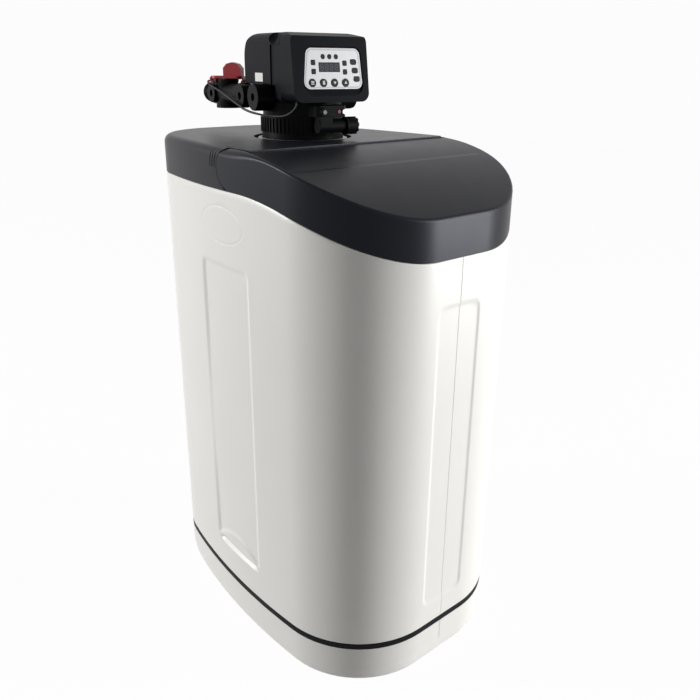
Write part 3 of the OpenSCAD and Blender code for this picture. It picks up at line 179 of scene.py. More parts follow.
@dataclass(frozen=True)
class Finish:
    """One finish: a mottled colour, uneven gloss and a fine grain."""

    name: str
    slot: str
    colour: Colour
    shade: Colour
    rough: float
    rough_spread: float = 0.08
    mottle_scale: float = 22.0
    grain: Grain = Grain.SATIN
    grain_scale: float = 1400.0
    grain_depth_mm: float = 0.02
    metal: float = 0.0
    coat: float = 0.0
    specular: float = 0.5
    sheen: Colour = (255, 255, 255)

    def _grain(self, graph: Graph, place: Term) -> Term:
        """The height of the fine grain, from 0 to 1."""
        if self.grain is Grain.PEBBLED:
            return graph.node("ShaderNodeTexVoronoi", {"feature": "SMOOTH_F1"},
                              {"Vector": place, "Scale": self.grain_scale, "Smoothness": 0.6}, "Distance")
        stretch = {Grain.BRUSHED: (0.04, 1.0, 1.0), Grain.WOUND: (0.15, 0.15, 1.0)}.get(self.grain)
        if stretch:
            place = graph.node("ShaderNodeMapping", None, {"Vector": place, "Scale": stretch})
        return graph.node("ShaderNodeTexNoise", None,
                          {"Vector": place, "Scale": self.grain_scale, "Detail": 3.0}, "Fac")

    def material(self) -> bpy.types.Material:
        """Makes the material, or returns the one that was made before."""
        if self.name in MADE:
            return MADE[self.name]
        made = MADE[self.name] = bpy.data.materials.new("finish_" + self.name)
        made.use_nodes = True
        graph = Graph(made.node_tree)
        place = graph.node("ShaderNodeTexCoord", None, None, "Object")
        mottle = graph.node("ShaderNodeTexNoise", None,
                            {"Vector": place, "Scale": self.mottle_scale, "Detail": 5.0}, "Fac")
        speck = graph.node("ShaderNodeTexNoise", None,
                           {"Vector": place, "Scale": self.grain_scale * 0.6, "Detail": 1.0}, "Fac")
        share = mottle * 0.7 + speck * 0.3
        colour = graph.node("ShaderNodeMix", {"data_type": "RGBA"},
                            {0: share, 6: linear(self.colour), 7: linear(self.shade)}, 2)
        grain = self._grain(graph, place)
        rough = (mottle - 0.5) * self.rough_spread + self.rough + (grain - 0.5) * 0.04
        bump = graph.node("ShaderNodeBump", None,
                          {"Height": grain, "Strength": 0.6, "Distance": self.grain_depth_mm * MM})
        shader = graph.node("ShaderNodeBsdfPrincipled", None, {
            "Base Color": colour, "Roughness": rough, "Normal": bump, "Metallic": self.metal,
            "Coat Weight": self.coat, "Coat Roughness": 0.25, "Specular IOR Level": self.specular,
            "Specular Tint": linear(self.sheen)})
        graph.node("ShaderNodeOutputMaterial", None, {"Surface": shader})
        return made


PEARL = Finish("pearl_moulding", "white_moulding", (228, 227, 223), (220, 219, 214), 0.4, 0.06, 9.0,
               Grain.PEBBLED, 900.0, 0.012, coat=0.12)
CHARCOAL = Finish("charcoal_moulding", "charcoal_moulding", (22, 23, 29), (16, 17, 22), 0.35, 0.06, 30.0,
                  Grain.PEBBLED, 1300.0, 0.07, specular=0.14, sheen=(236, 240, 255))
BAND = Finish("black_band", "black_band", (18, 19, 22), (12, 13, 15), 0.5, specular=0.08)
VALVE = Finish("valve_black", "black_valve", (17, 18, 20), (10, 11, 12), 0.4, 0.16, 60.0,
               Grain.SATIN, 1800.0, 0.03, specular=0.05)
HEAD = Finish("head_black", "head_plastic", (23, 24, 29), (17, 18, 22), 0.42, 0.06, 40.0,
              Grain.PEBBLED, 1600.0, 0.035, specular=0.04)
SILVER = Finish("silver_film", "silver_panel", (205, 206, 208), (196, 197, 200), 0.4, 0.06, 70.0,
                Grain.BRUSHED, 2500.0, 0.006, metal=0.15)
LENS = Finish("dark_lens", "dark_lens", (24, 26, 32), (17, 18, 23), 0.24, 0.05, 120.0,
              coat=0.08, specular=0.25)
GLASS = Finish("display_window", "dark_lens", (50, 52, 59), (43, 45, 51), 0.22, 0.05, 90.0,
               coat=0.08, specular=0.25)
SEGMENT = Finish("unlit_segment", "dark_lens", (84, 87, 96), (74, 77, 85), 0.45, specular=0.25)
BUTTON = Finish("button_black", "button_black", (24, 25, 30), (18, 19, 23), 0.34, 0.06, 150.0, specular=0.2)
RED = Finish("red_plastic", "red_plastic", (178, 44, 52), (158, 36, 46), 0.42, 0.1, 70.0,
             Grain.SATIN, 1500.0, 0.03)
DULL_RED = Finish("dull_red", "red_plastic", (118, 36, 44), (98, 30, 38), 0.5)
GREY = Finish("grey_plastic", "white_plastic", (122, 124, 130), (104, 106, 112), 0.5)
WHITE = Finish("white_plastic", "white_plastic", (226, 226, 222), (214, 214, 209), 0.45)
CERAMIC = Finish("ceramic", "ceramic", (236, 233, 225), (226, 222, 212), 0.2, coat=0.3)
TANK = Finish("wound_tank", "tank_liner", (44, 84, 128), (34, 66, 104), 0.38, 0.1, 30.0,
              Grain.WOUND, 700.0, 0.2, coat=0.4)
RESIN = Finish("resin_beads", "resin", (182, 120, 46), (140, 84, 28), 0.5, 0.1, 300.0,
               Grain.PEBBLED, 900.0, 0.5)
SEAL = Finish("seal_rubber", "seal_rubber", (30, 30, 31), (22, 22, 23), 0.7)
STEEL = Finish("plain_steel", "steel", (190, 191, 193), (170, 171, 174), 0.32, 0.12, 80.0,
               Grain.BRUSHED, 1500.0, 0.01, metal=1.0)
BOARD = Finish("circuit_board", "board", (26, 92, 54), (20, 74, 44), 0.4)
SHEATH = Finish("cable_sheath", "cable", (92, 93, 98), (70, 71, 76), 0.5, 0.1, 200.0)
LINE = Finish("printed_line", "dark_lens", (120, 122, 128), (108, 110, 116), 0.45)
MARK = Finish("white_mark", "white_plastic", (228, 230, 234), (214, 216, 220), 0.5)

NODE_FINISH: Dict[str, Finish] = {
    "tank_boot": BAND, "trim_band": BAND, "resin_tank": TANK, "resin_bed": RESIN,
    "neck_oring": SEAL, "riser_oring": SEAL, "fixed_disc": CERAMIC, "moving_disc": CERAMIC,
    "lid_pins": STEEL, "spindle": STEEL, "valve_screws": STEEL, "drive_motor": STEEL,
    "float_rod": STEEL, "circuit_board": BOARD, "rear_cover": CHARCOAL, "salt_lid": CHARCOAL,
    "base_tray": PEARL, "rear_housing": HEAD, "front_cover": HEAD, "panel_plate": SILVER,
    "display": GLASS, "indicator_lenses": LENS, "status_lenses": LENS, "button_menu": BUTTON,
    "button_manual": BUTTON, "button_down": BUTTON, "button_up": BUTTON, "bypass_handle": RED,
    "flow_plug": DULL_RED, "injector_nozzle": GREY,
}
for plain_node in ("base_nut", "valve_body", "chamber_cover", "port_plugs", "injector_cap", "drain_nut",
                   "bypass_body", "flow_sensor", "bottom_distributor", "top_distributor",
                   "brine_well_cap", "drive_plate"):
    NODE_FINISH[plain_node] = VALVE
for plain_node in ("tank_collar", "side_label", "riser_tube", "brine_well", "salt_plate", "air_check",
                   "brine_float", "main_gear", "motor_pinion", "flow_impeller", "bypass_rotor"):
    NODE_FINISH[plain_node] = WHITE


# Meshes

def add_object(name: str, data: bpy.types.ID) -> bpy.types.Object:
    """Makes an object and links it to the scene."""
    made = bpy.data.objects.new(name, data)
    bpy.context.scene.collection.objects.link(made)
    return made


def settle(piece: bpy.types.Object, finish: Finish, body: str,
           stands_for: Sequence[str] = ()) -> bpy.types.Object:
    """Gives a finished piece its material, body and replaced nodes.

    Args:
        piece: The object, at the origin, with its place in its mesh.
        finish: Its finish.
        body: The frame's body that it moves with.
        stands_for: The frame's nodes that it replaces.

    Returns:
        The same object.
    """
    piece.data.materials.clear()
    piece.data.materials.append(finish.material())
    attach(piece, body)
    if stands_for:
        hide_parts(*stands_for)
    log.info("%s: %d faces, on %s", piece.name, len(piece.data.polygons), body)
    return piece


def new_piece(name: str, points: Sequence[Sequence[float]], faces: Sequence[Sequence[int]],
              sharp_deg: float = 35.0) -> bpy.types.Object:
    """Makes a smooth mesh object from points in metres."""
    mesh = bpy.data.meshes.new(name)
    mesh.from_pydata([tuple(p) for p in points], [], [tuple(f) for f in faces])
    mesh.validate()
    smooth(mesh, sharp_deg)
    return add_object(name, mesh)


def smooth(mesh: bpy.types.Mesh, sharp_deg: float) -> None:
    """Shades a mesh smooth, with sharp edges above an angle."""
    mesh.polygons.foreach_set("use_smooth", [True] * len(mesh.polygons))
    mesh.set_sharp_from_angle(angle=math.radians(sharp_deg))


def evaluated_mesh(piece: bpy.types.Object) -> bpy.types.Mesh:
    """The mesh that an object's modifiers make."""
    bpy.context.view_layer.update()
    graph = bpy.context.evaluated_depsgraph_get()
    return bpy.data.meshes.new_from_object(piece.evaluated_get(graph))


def flatten(piece: bpy.types.Object) -> None:
    """Replaces an object's mesh by its evaluated one and removes its modifiers."""
    made = evaluated_mesh(piece)
    piece.modifiers.clear()
    piece.data = made


def weigh_normals(piece: bpy.types.Object) -> None:
    """Lets large faces keep their own direction where small ones meet them."""
    even = piece.modifiers.new("even", "WEIGHTED_NORMAL")
    even.keep_sharp = True
    flatten(piece)


def body_of_node(node: str) -> str:
    """The body that a node of the frame rides on."""
    return frame["nodes"][node]["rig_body"]


def soft_copy(node: str, bevel_mm: float, sharp_deg: float = 35.0,
              segments: int = 2) -> bpy.types.Object:
    """Copies a node of the frame with its sharp edges rounded.

    Args:
        node: The node's name.
        bevel_mm: Width of the rounded edges.
        sharp_deg: Edges sharper than this are rounded.
        segments: Steps across a rounded edge.

    Returns:
        The dressed copy, which replaces the node.
    """
    work = bmesh.new()
    work.from_mesh(frame["nodes"][node].data)
    bmesh.ops.remove_doubles(work, verts=work.verts, dist=WELD_M)
    bmesh.ops.dissolve_limit(work, angle_limit=math.radians(FLAT_DEG), verts=work.verts, edges=work.edges)
    mesh = bpy.data.meshes.new(node + "_form")
    work.to_mesh(mesh)
    work.free()
    smooth(mesh, sharp_deg)
    piece = add_object(node + "_form", mesh)
    edge = piece.modifiers.new("edge", "BEVEL")
    edge.width = bevel_mm * MM
    edge.segments = segments
    edge.limit_method = "ANGLE"
    edge.angle_limit = math.radians(sharp_deg)
    edge.use_clamp_overlap = True
    weigh_normals(piece)
    return settle(piece, NODE_FINISH[node], body_of_node(node), [node])


def rings_to_faces(count: int, around: int, closed: bool = False) -> List[Tuple[int, ...]]:
    """Quads between rings of equal length.

    Args:
        count: Number of rings.
        around: Points in a ring.
        closed: Whether the last ring meets the first one.

    Returns:
        The faces, pointing outwards for rings that run counter-clockwise and rise.
    """
    faces = []
    for i in range(count if closed else count - 1):
        j = (i + 1) % count
        for k in range(around):
            m = (k + 1) % around
            faces.append((i * around + k, i * around + m, j * around + m, j * around + k))
    return faces


# Cabinet

@dataclass(frozen=True)
class PlanSample:
    """One place on the cabinet's outline: an arc's centre, radius and angle."""

    cx: float
    cy: float
    r: float
    a: float

    def at(self, off: float) -> Tuple[float, float]:
        """The point that lies inside the outline by an offset."""
        return (self.cx + (self.r - off) * math.cos(self.a), self.cy + (self.r - off) * math.sin(self.a))


@dataclass
class Plan:
    """The cabinet's outline seen from above."""

    width: float = 320.0
    depth: float = 472.0
    front_r: float = 120.0
    rear_r: float = 112.0
    bow_r: float = 948.0
    widest: float = 178.0

    front_x: Tuple[float, ...] = (0.0, 0.3, 0.7, 1.5, 6, 14, 22, 29, 31, 32, 33, 34, 35, 36, 37)
    rear_x: float = 14.0
    fine_y: Tuple[float, float] = (-64.0, 60.0)
    side_steps: Tuple[int, int, int] = (9, 96, 10)
    front_steps: int = 34
    rear_steps: int = 32

    def bow(self) -> Tuple[float, float]:
        """Centre of the right side's bow."""
        return self.width / 2 - self.bow_r, -self.depth / 2 + self.widest

    def corner(self, r: float, y: float) -> Tuple[float, float]:
        """Centre of a right corner's arc, which touches the bow, from its radius and its depth."""
        bx, by = self.bow()
        return bx + math.sqrt((self.bow_r - r) ** 2 - (y - by) ** 2), y

    def front_corner(self) -> Tuple[float, float]:
        """Centre of the right front corner's arc."""
        return self.corner(self.front_r, -self.depth / 2 + self.front_r)

    def samples(self) -> List[PlanSample]:
        """Samples the outline counter-clockwise from the middle of the front.

        Returns:
            The samples, closer together at the front's and the sides' mouldings.
        """
        (bx, by), (fx, fy) = self.bow(), self.front_corner()
        rx, ry = self.corner(self.rear_r, self.depth / 2 - self.rear_r)
        a0, a1 = math.atan2(fy - by, fx - bx), math.atan2(ry - by, rx - bx)
        ahead, behind = -math.pi / 2, math.pi / 2
        half = [PlanSample(x, fy, self.front_r, ahead) for x in self.front_x]
        for i in range(self.front_steps):
            half.append(PlanSample(fx, fy, self.front_r, ahead + (a0 - ahead) * i / self.front_steps))
        stops = [a0, *(math.asin((y - by) / self.bow_r) for y in self.fine_y), a1]
        for low, high, steps in zip(stops, stops[1:], self.side_steps):
            half += [PlanSample(bx, by, self.bow_r, a) for a in np.linspace(low, high, steps)[:-1]]
        for i in range(self.rear_steps):
            half.append(PlanSample(rx, ry, self.rear_r, a1 + (behind - a1) * i / self.rear_steps))
        half += [PlanSample(x, ry, self.rear_r, behind) for x in (rx, self.rear_x, 0.0)]
        other = [PlanSample(-s.cx, s.cy, s.r, math.pi - s.a) for s in reversed(half[1:-1])]
        return half + other

    def inside(self, x: float, y: float) -> Tuple[float, Vector]:
        """Measures a point of the front half against the outline.

        Args:
            x: The point's place across.
            y: The point's depth.

        Returns:
            How far the point lies inside the outline, and the way out.
        """
        (bx, by), (fx, fy) = self.bow(), self.front_corner()
        side, across = math.copysign(1.0, x), abs(x)
        if across <= fx and y < fy:
            return y + self.depth / 2, Vector((0, -1))
        out = Vector((across - bx, y - by))
        gap = self.bow_r - out.length
        if out.y / out.x < (fy - by) / (fx - bx):
            out = Vector((across - fx, y - fy))
            gap = self.front_r - out.length
        out.normalize()
        return gap, Vector((side * out.x, out.y))


def rows_of(*stretches: Tuple[float, float, float]) -> List[float]:
    """Heights in stretches, each from a start to below a stop by a step."""
    return [float(z) for stretch in stretches for z in np.arange(*stretch)]


def ease(t: float) -> float:
    """A smooth step from 0 to 1."""
    t = min(1.0, max(0.0, t))
    return t * t * (3 - 2 * t)


def round_box(u: float, v: float, half_u: float, half_v: float, r: float) -> float:
    """Distance outside a rounded rectangle, below zero inside."""
    du, dv = abs(u) - half_u + r, abs(v) - half_v + r
    return min(max(du, dv), 0.0) + math.hypot(max(du, 0.0), max(dv, 0.0)) - r


@dataclass
class Cabinet:
    """The white cabinet, its base and its dark band."""

    plan: Plan
    wall: float = 4.0
    low: float = 62.0
    floor: float = 66.0
    rim_rear: float = 602.0
    rim_front: float = 544.0
    rim_fall: float = 200.0
    split_row: float = 520.0
    rim_profile: Tuple[Tuple[float, float], ...] = (
        (0.35, 0.4), (1.3, 0.0), (2.7, 0.0), (3.65, 0.4), (4.0, 1.4))
    seam_drop: float = 1.5
    base_top: float = 54.0
    side_facing: float = 0.9
    side_reach: float = 75.0
    recess_at: Tuple[float, float] = (-2.0, 310.0)
    recess_half: Tuple[float, float] = (56.0, 205.0)
    recess_r: float = 12.0
    recess_flank: float = 8.0
    recess_depth: float = 2.4
    shallow_from: float = -20.0
    shallow_over: float = 70.0
    shallow_z: float = 290.0
    shallow_height: float = 95.0
    shallow_share: float = 0.7
    scoop_half: float = 54.0
    scoop_depth: float = 4.0
    scoop_low: float = 106.0
    scoop_rise: float = 22.0
    scoop_flank: float = 6.0
    scoop_foot: float = 5.0
    ring_at: Tuple[float, float] = (-3.0, 560.0)
    ring_half: Tuple[float, float] = (47.0, 21.5)
    ring_depth: float = 0.55
    ring_width: float = 1.1
    front_reach: Tuple[float, float] = (60.0, 30.0)
    front_z: float = 291.0
    front_half: Tuple[float, float] = (36.0, 200.0)
    front_r: float = 14.0
    front_flank: float = 5.0
    front_depth: float = 1.2
    join_depth: float = 0.4
    join_width: float = 0.7

    def rim(self, y: float) -> float:
        """Height of the rim at a depth."""
        fall = max(0.0, 1 - (y + self.plan.depth / 2) / self.rim_fall)
        return self.rim_rear - (self.rim_rear - self.rim_front) * fall ** 2 - self.seam_drop

    def recess_dent(self, y: float, z: float) -> float:
        """Depth of a side's long recess, which is shallow at its rear and has a scoop at its foot."""
        across, up = y - self.recess_at[0], z - self.recess_at[1]
        edge = -round_box(across, up, *self.recess_half, self.recess_r)
        u = min(1.0, abs(across) / self.scoop_half)
        rise = self.scoop_rise * (1 - u * u) + 0.01
        above = z - self.scoop_low
        depth = self.recess_depth * ease(edge / self.recess_flank) * ease((above - rise) / self.scoop_flank)
        rear = ease((y - self.shallow_from) / self.shallow_over)
        depth *= 1 - self.shallow_share * rear * math.exp(-((z - self.shallow_z) / self.shallow_height) ** 2)
        if above < rise:
            share = (1 - above / rise) ** 2 if above >= 0 else ease(1 + above / self.scoop_foot)
            depth += self.scoop_depth * share * ease((1 - u) * 4)
        return depth

    def ring_dent(self, y: float, z: float) -> float:
        """Depth of the oval groove above a side's recess."""
        (a, b), (across, up) = self.ring_half, (y - self.ring_at[0], z - self.ring_at[1])
        k = math.hypot(across / a, up / b)
        if not 0.7 < k < 1.3:
            return 0.0
        slope = math.hypot(across / a ** 2, up / b ** 2) / k
        return self.ring_depth * ease(1 - abs((k - 1) / slope) / self.ring_width)

    def front_dent(self, x: float, z: float) -> float:
        """Depth of the front's recess and of the join down its middle."""
        edge = -round_box(x, z - self.front_z, *self.front_half, self.front_r)
        join = self.join_depth * ease(1 - abs(x) / self.join_width)
        return self.front_depth * ease(edge / self.front_flank) + join

    def dent(self, s: PlanSample, z: float) -> float:
        """Depth of the mouldings at a place on the outline."""
        x, y = s.at(0)
        if abs(math.cos(s.a)) > self.side_facing and abs(y) < self.side_reach:
            return self.recess_dent(y, z) + self.ring_dent(y, z)
        if abs(x) < self.front_reach[0] and y < -self.plan.depth / 2 + self.front_reach[1]:
            return self.front_dent(x, z)
        return 0.0

    def build_shell(self) -> bpy.types.Object:
        """Builds the hollow shell with its mouldings."""
        samples = self.plan.samples()
        low_rows = [self.low + 1.6]
        low_rows += rows_of((70, 90, 10), (90, 99, 3), (99, 140, 1.6), (144, 480, 9),
                            (482, self.split_row, 2))
        high_rows = rows_of((self.split_row, 536, 6), (536, 585, 1.3), (590, 600, 5)) + [self.rim_rear - 1.4]
        shares = [(z - self.split_row) / (self.rim_rear - self.split_row) for z in high_rows]
        points: List[Point] = []
        rows = 0

        def ring(place: Callable[[PlanSample], Tuple[float, float]]) -> None:
            """Adds one ring whose offset and height a function gives."""
            nonlocal rows
            for s in samples:
                off, z = place(s)
                x, y = s.at(off)
                points.append((x * MM, y * MM, z * MM))
            rows += 1

        def height(s: PlanSample, share: float) -> float:
            """A height between the fixed rows and the rim."""
            return self.split_row + (self.rim(s.at(0)[1]) - self.split_row) * share

        ring(lambda s: (1.6, self.low))
        ring(lambda s: (0.45, self.low + 0.45))
        for z in low_rows:
            ring(lambda s, z=z: (self.dent(s, z), z))
        for share in shares:
            ring(lambda s, f=share: (self.dent(s, height(s, f)), height(s, f)))
        for off, drop in self.rim_profile:
            ring(lambda s, o=off, d=drop: (o, self.rim(s.at(0)[1]) - d))
        for share in (0.5, 0.05):
            ring(lambda s, f=share: (self.wall + self.dent(s, height(s, f)), height(s, f)))
        for z in rows_of((490, 80, -14)) + [self.floor]:
            ring(lambda s, z=z: (self.wall + self.dent(s, z), z))
        n = len(samples)
        faces = rings_to_faces(rows, n)
        faces.append(tuple(range(n - 1, -1, -1)))
        faces.append(tuple(range((rows - 1) * n, rows * n)))
        piece = new_piece("cabinet_shell_form", points, faces, 40)
        return settle(piece, PEARL, "cabinet", ["cabinet_shell"])

    def build_band(self) -> bpy.types.Object:
        """Builds the dark band, nearly flush between the base and the shell."""
        samples = self.plan.samples()
        points: List[Point] = []
        rows = ((0.7, self.base_top), (0.25, self.base_top + 0.4), (0.25, self.low - 0.3),
                (0.7, self.low), (self.wall, self.low), (self.wall, self.base_top))
        for off, z in rows:
            points += [(x * MM, y * MM, z * MM) for x, y in (s.at(off) for s in samples)]
        piece = new_piece("trim_band_form", points, rings_to_faces(len(rows), len(samples), True), 30)
        return settle(piece, BAND, "cabinet", ["trim_band"])

    def build(self) -> None:
        """Builds the shell and the band, and dresses the base."""
        self.build_shell()
        self.build_band()
        soft_copy("base_tray", 0.8, 30)


@dataclass
class Lids:
    """The rear cover and the hinged salt lid."""

    cabinet: Cabinet
    edge: float = 0.7
    seam_gap: float = 0.3
    top_rear: float = 647.0
    top_front: float = 588.0
    edge_r: float = 10.0
    crease_r: float = 3.0
    crease_from: float = -25.0
    crease_over: float = 75.0
    sharp_deg: float = 38.0
    cuts_x: Tuple[int, int] = (150, 10)
    cuts_y: Tuple[int, int] = (232, 6)
    top_near: float = 0.2
    skin_near: float = 0.5
    edge_near: float = 0.6
    least_facing: float = 0.7

    def fall(self, y: float) -> float:
        """How far the arch has come at a depth: 0 at its rear and 1 at the front."""
        return max(0.0, 1 - (y + self.cabinet.plan.depth / 2) / self.cabinet.rim_fall)

    def top(self, y: float) -> float:
        """Height of the salt lid's arched top."""
        return self.top_rear - (self.top_rear - self.top_front) * self.fall(y) ** 2

    def radius(self, y: float) -> float:
        """Radius of the salt lid's edge, which tightens towards the front."""
        return self.edge_r - (self.edge_r - self.crease_r) * ease((self.crease_from - y) / self.crease_over)

    def refine(self, piece: bpy.types.Object) -> None:
        """Divides the salt lid's faces and brings its top onto the smooth arch."""
        work = bmesh.new()
        work.from_mesh(piece.data)
        (wide, step_x), (deep, step_y) = self.cuts_x, self.cuts_y
        for way, places in ((Vector((1, 0, 0)), range(-wide, wide + 1, step_x)),
                            (Vector((0, 1, 0)), range(-deep, 0, step_y))):
            for at in places:
                bmesh.ops.bisect_plane(work, geom=work.verts[:] + work.edges[:] + work.faces[:],
                                       plane_co=way * at * MM, plane_no=way)
        for v in work.verts:
            top = self.top(v.co.y / MM)
            if abs(v.co.z / MM - top) < self.top_near:
                v.co.z = top * MM
        work.to_mesh(piece.data)
        work.free()
        smooth(piece.data, self.sharp_deg)

    def lower_rim(self, piece: bpy.types.Object) -> None:
        """Brings a lid's lower edge down to the shell's rim."""
        drop = self.cabinet.seam_drop
        for v in piece.data.vertices:
            rim = self.cabinet.rim(v.co.y / MM) + drop + self.seam_gap
            if abs(v.co.z / MM - rim) < self.edge + 0.4:
                v.co.z -= drop * MM

    def edge_turn(self, gap: float, down: float, r: float) -> Optional[float]:
        """Finds a point on the rounding of the salt lid's edge.

        Args:
            gap: How far the point lies inside the outline.
            down: How far it lies below the top.
            r: The rounding's radius.

        Returns:
            The point's angle round the edge, 0 at the skirt, or None if it lies elsewhere.
        """
        if max(gap, down) > r + self.edge_near or abs(math.hypot(r - gap, r - down) - r) > self.skin_near:
            return None
        return math.atan2(max(r - down, 0.0), max(r - gap, 0.0))

    def crease(self, piece: bpy.types.Object) -> None:
        """Tightens the rounding of the salt lid's edge towards the front."""
        for v in piece.data.vertices:
            x, y, z = (c / MM for c in v.co)
            down = self.top(y) - z
            gap, out = self.cabinet.plan.inside(x, y)
            turn = self.edge_turn(gap, down, self.edge_r)
            if turn is None:
                continue
            less = self.edge_r - self.radius(y)
            step = out * less * (1 - math.cos(turn))
            x, y = x + step.x, y + step.y
            v.co = Vector((x, y, self.top(y) - down + less * (1 - math.sin(turn)))) * MM

    def outer_normal(self, x: float, y: float, z: float) -> Optional[Vector]:
        """The true direction of the salt lid's outer skin at a point, or None if it lies elsewhere."""
        gap, out = self.cabinet.plan.inside(x, y)
        down, r = self.top(y) - z, self.radius(y)
        slope = 2 * (self.top_rear - self.top_front) * self.fall(y) / self.cabinet.rim_fall
        upward, outward = Vector((0, -slope, 1)).normalized(), Vector((out.x, out.y, 0))
        if abs(down) < self.top_near and gap > r:
            return upward
        if abs(gap) < self.skin_near and down > r:
            return outward
        turn = self.edge_turn(gap, down, r)
        if turn is None:
            return None
        return (outward * math.cos(turn) + upward * math.sin(turn)).normalized()

    def shade(self, piece: bpy.types.Object) -> None:
        """Gives the salt lid's outer skin its true directions, so that no facet shows."""
        mesh = piece.data
        true = [self.outer_normal(*(v.co / MM)) for v in mesh.vertices]
        normals = [(0.0, 0.0, 0.0)] * len(mesh.loops)
        for face in mesh.polygons:
            for k in face.loop_indices:
                n = true[mesh.loops[k].vertex_index]
                if n is not None and n.dot(face.normal) > self.least_facing:
                    normals[k] = tuple(n)
        mesh.normals_split_custom_set(normals)

    def build(self) -> None:
        """Dresses both lids and the pins."""
        self.lower_rim(soft_copy("rear_cover", self.edge, self.sharp_deg))
        lid = soft_copy("salt_lid", self.edge, self.sharp_deg)
        self.refine(lid)
        self.crease(lid)
        self.lower_rim(lid)
        self.shade(lid)
        soft_copy("lid_pins", 0.4)


# Repeats made by node trees

class RepeatTree:
    """A geometry tree with named inputs that ends in Realize Instances and Set Material."""

    def __init__(self, name: str, inputs: Dict[str, Tuple[str, Number]]) -> None:
        """Makes the tree and its inputs.

        Args:
            name: The tree's name.
            inputs: Socket type and default value for each input.
        """
        self.tree = bpy.data.node_groups.new(name, "GeometryNodeTree")
        face = self.tree.interface
        face.new_socket("Geometry", in_out="INPUT", socket_type="NodeSocketGeometry")
        face.new_socket("Geometry", in_out="OUTPUT", socket_type="NodeSocketGeometry")
        self.ids: Dict[str, str] = {}
        for key, (kind, value) in inputs.items():
            made = face.new_socket(key, in_out="INPUT", socket_type=kind)
            made.default_value = value
            self.ids[key] = made.identifier
        self.source = self.tree.nodes.new("NodeGroupInput")

    def node(self, kind: str, settings: Optional[Dict[str, object]] = None,
             sockets: Optional[Dict[Union[int, str], object]] = None) -> bpy.types.Node:
        """Adds a node with its settings and the values or links of its sockets."""
        made = self.tree.nodes.new(kind)
        for key, value in (settings or {}).items():
            setattr(made, key, value)
        for key, value in (sockets or {}).items():
            if isinstance(value, bpy.types.NodeSocket):
                self.tree.links.new(value, made.inputs[key])
            else:
                made.inputs[key].default_value = value
        return made

    def close(self, geometry: bpy.types.NodeSocket, finish: Finish) -> None:
        """Ends the tree."""
        real = self.node("GeometryNodeRealizeInstances", None, {0: geometry})
        dressed = self.node("GeometryNodeSetMaterial", None, {0: real.outputs[0]})
        dressed.inputs["Material"].default_value = finish.material()
        end = self.tree.nodes.new("NodeGroupOutput")
        self.tree.links.new(dressed.outputs[0], end.inputs[0])

    def attach(self, piece: bpy.types.Object, values: Dict[str, Number]) -> None:
        """Adds the tree to an object, with values for its inputs."""
        changer = piece.modifiers.new("repeat", "NODES")
        changer.node_group = self.tree
        for key, value in values.items():
            changer[self.ids[key]] = value

    def apply(self, piece: bpy.types.Object, values: Dict[str, Number]) -> None:
        """Runs the tree on a mesh object and keeps the plain mesh."""
        self.attach(piece, values)
        flatten(piece)


def thread_tree() -> RepeatTree:
    """Rings one pitch apart along Z."""
    made = RepeatTree("thread_rings", {
        "Radius": ("NodeSocketFloat", 0.0132), "Bead": ("NodeSocketFloat", 0.0005),
        "Count": ("NodeSocketInt", 7), "Pitch": ("NodeSocketFloat", 0.0018)})
    out = made.source.outputs
    line = made.node("GeometryNodeMeshLine", None, {"Count": out["Count"]})
    step = made.node("ShaderNodeCombineXYZ", None, {"Z": out["Pitch"]})
    made.tree.links.new(step.outputs[0], line.inputs["Offset"])
    circle = made.node("GeometryNodeCurvePrimitiveCircle", None, {"Resolution": 56, "Radius": out["Radius"]})
    bead = made.node("GeometryNodeCurvePrimitiveCircle", None, {"Resolution": 8, "Radius": out["Bead"]})
    ring = made.node("GeometryNodeCurveToMesh", None, {0: circle.outputs[0], 1: bead.outputs[0]})
    many = made.node("GeometryNodeInstanceOnPoints", None,
                     {"Points": line.outputs[0], "Instance": ring.outputs[0]})
    made.close(many.outputs[0], VALVE)
    return made


def digit_tree() -> RepeatTree:
    """A flat bar on every point, turned by the point's own attribute."""
    made = RepeatTree("digit_bars", {
        "Length": ("NodeSocketFloat", 0.0026), "Width": ("NodeSocketFloat", 0.0006)})
    out = made.source.outputs
    size = made.node("ShaderNodeCombineXYZ", None, {"X": out["Length"], "Y": out["Width"], "Z": 0.00006})
    bar = made.node("GeometryNodeMeshCube", None, {"Size": size.outputs[0]})
    turn = made.node("GeometryNodeInputNamedAttribute", {"data_type": "FLOAT"}, {"Name": "turn"})
    spin = made.node("ShaderNodeCombineXYZ", None, {"Z": turn.outputs[0]})
    many = made.node("GeometryNodeInstanceOnPoints", None, {
        "Points": out["Geometry"], "Instance": bar.outputs[0], "Rotation": spin.outputs[0]})
    made.close(many.outputs[0], SEGMENT)
    return made


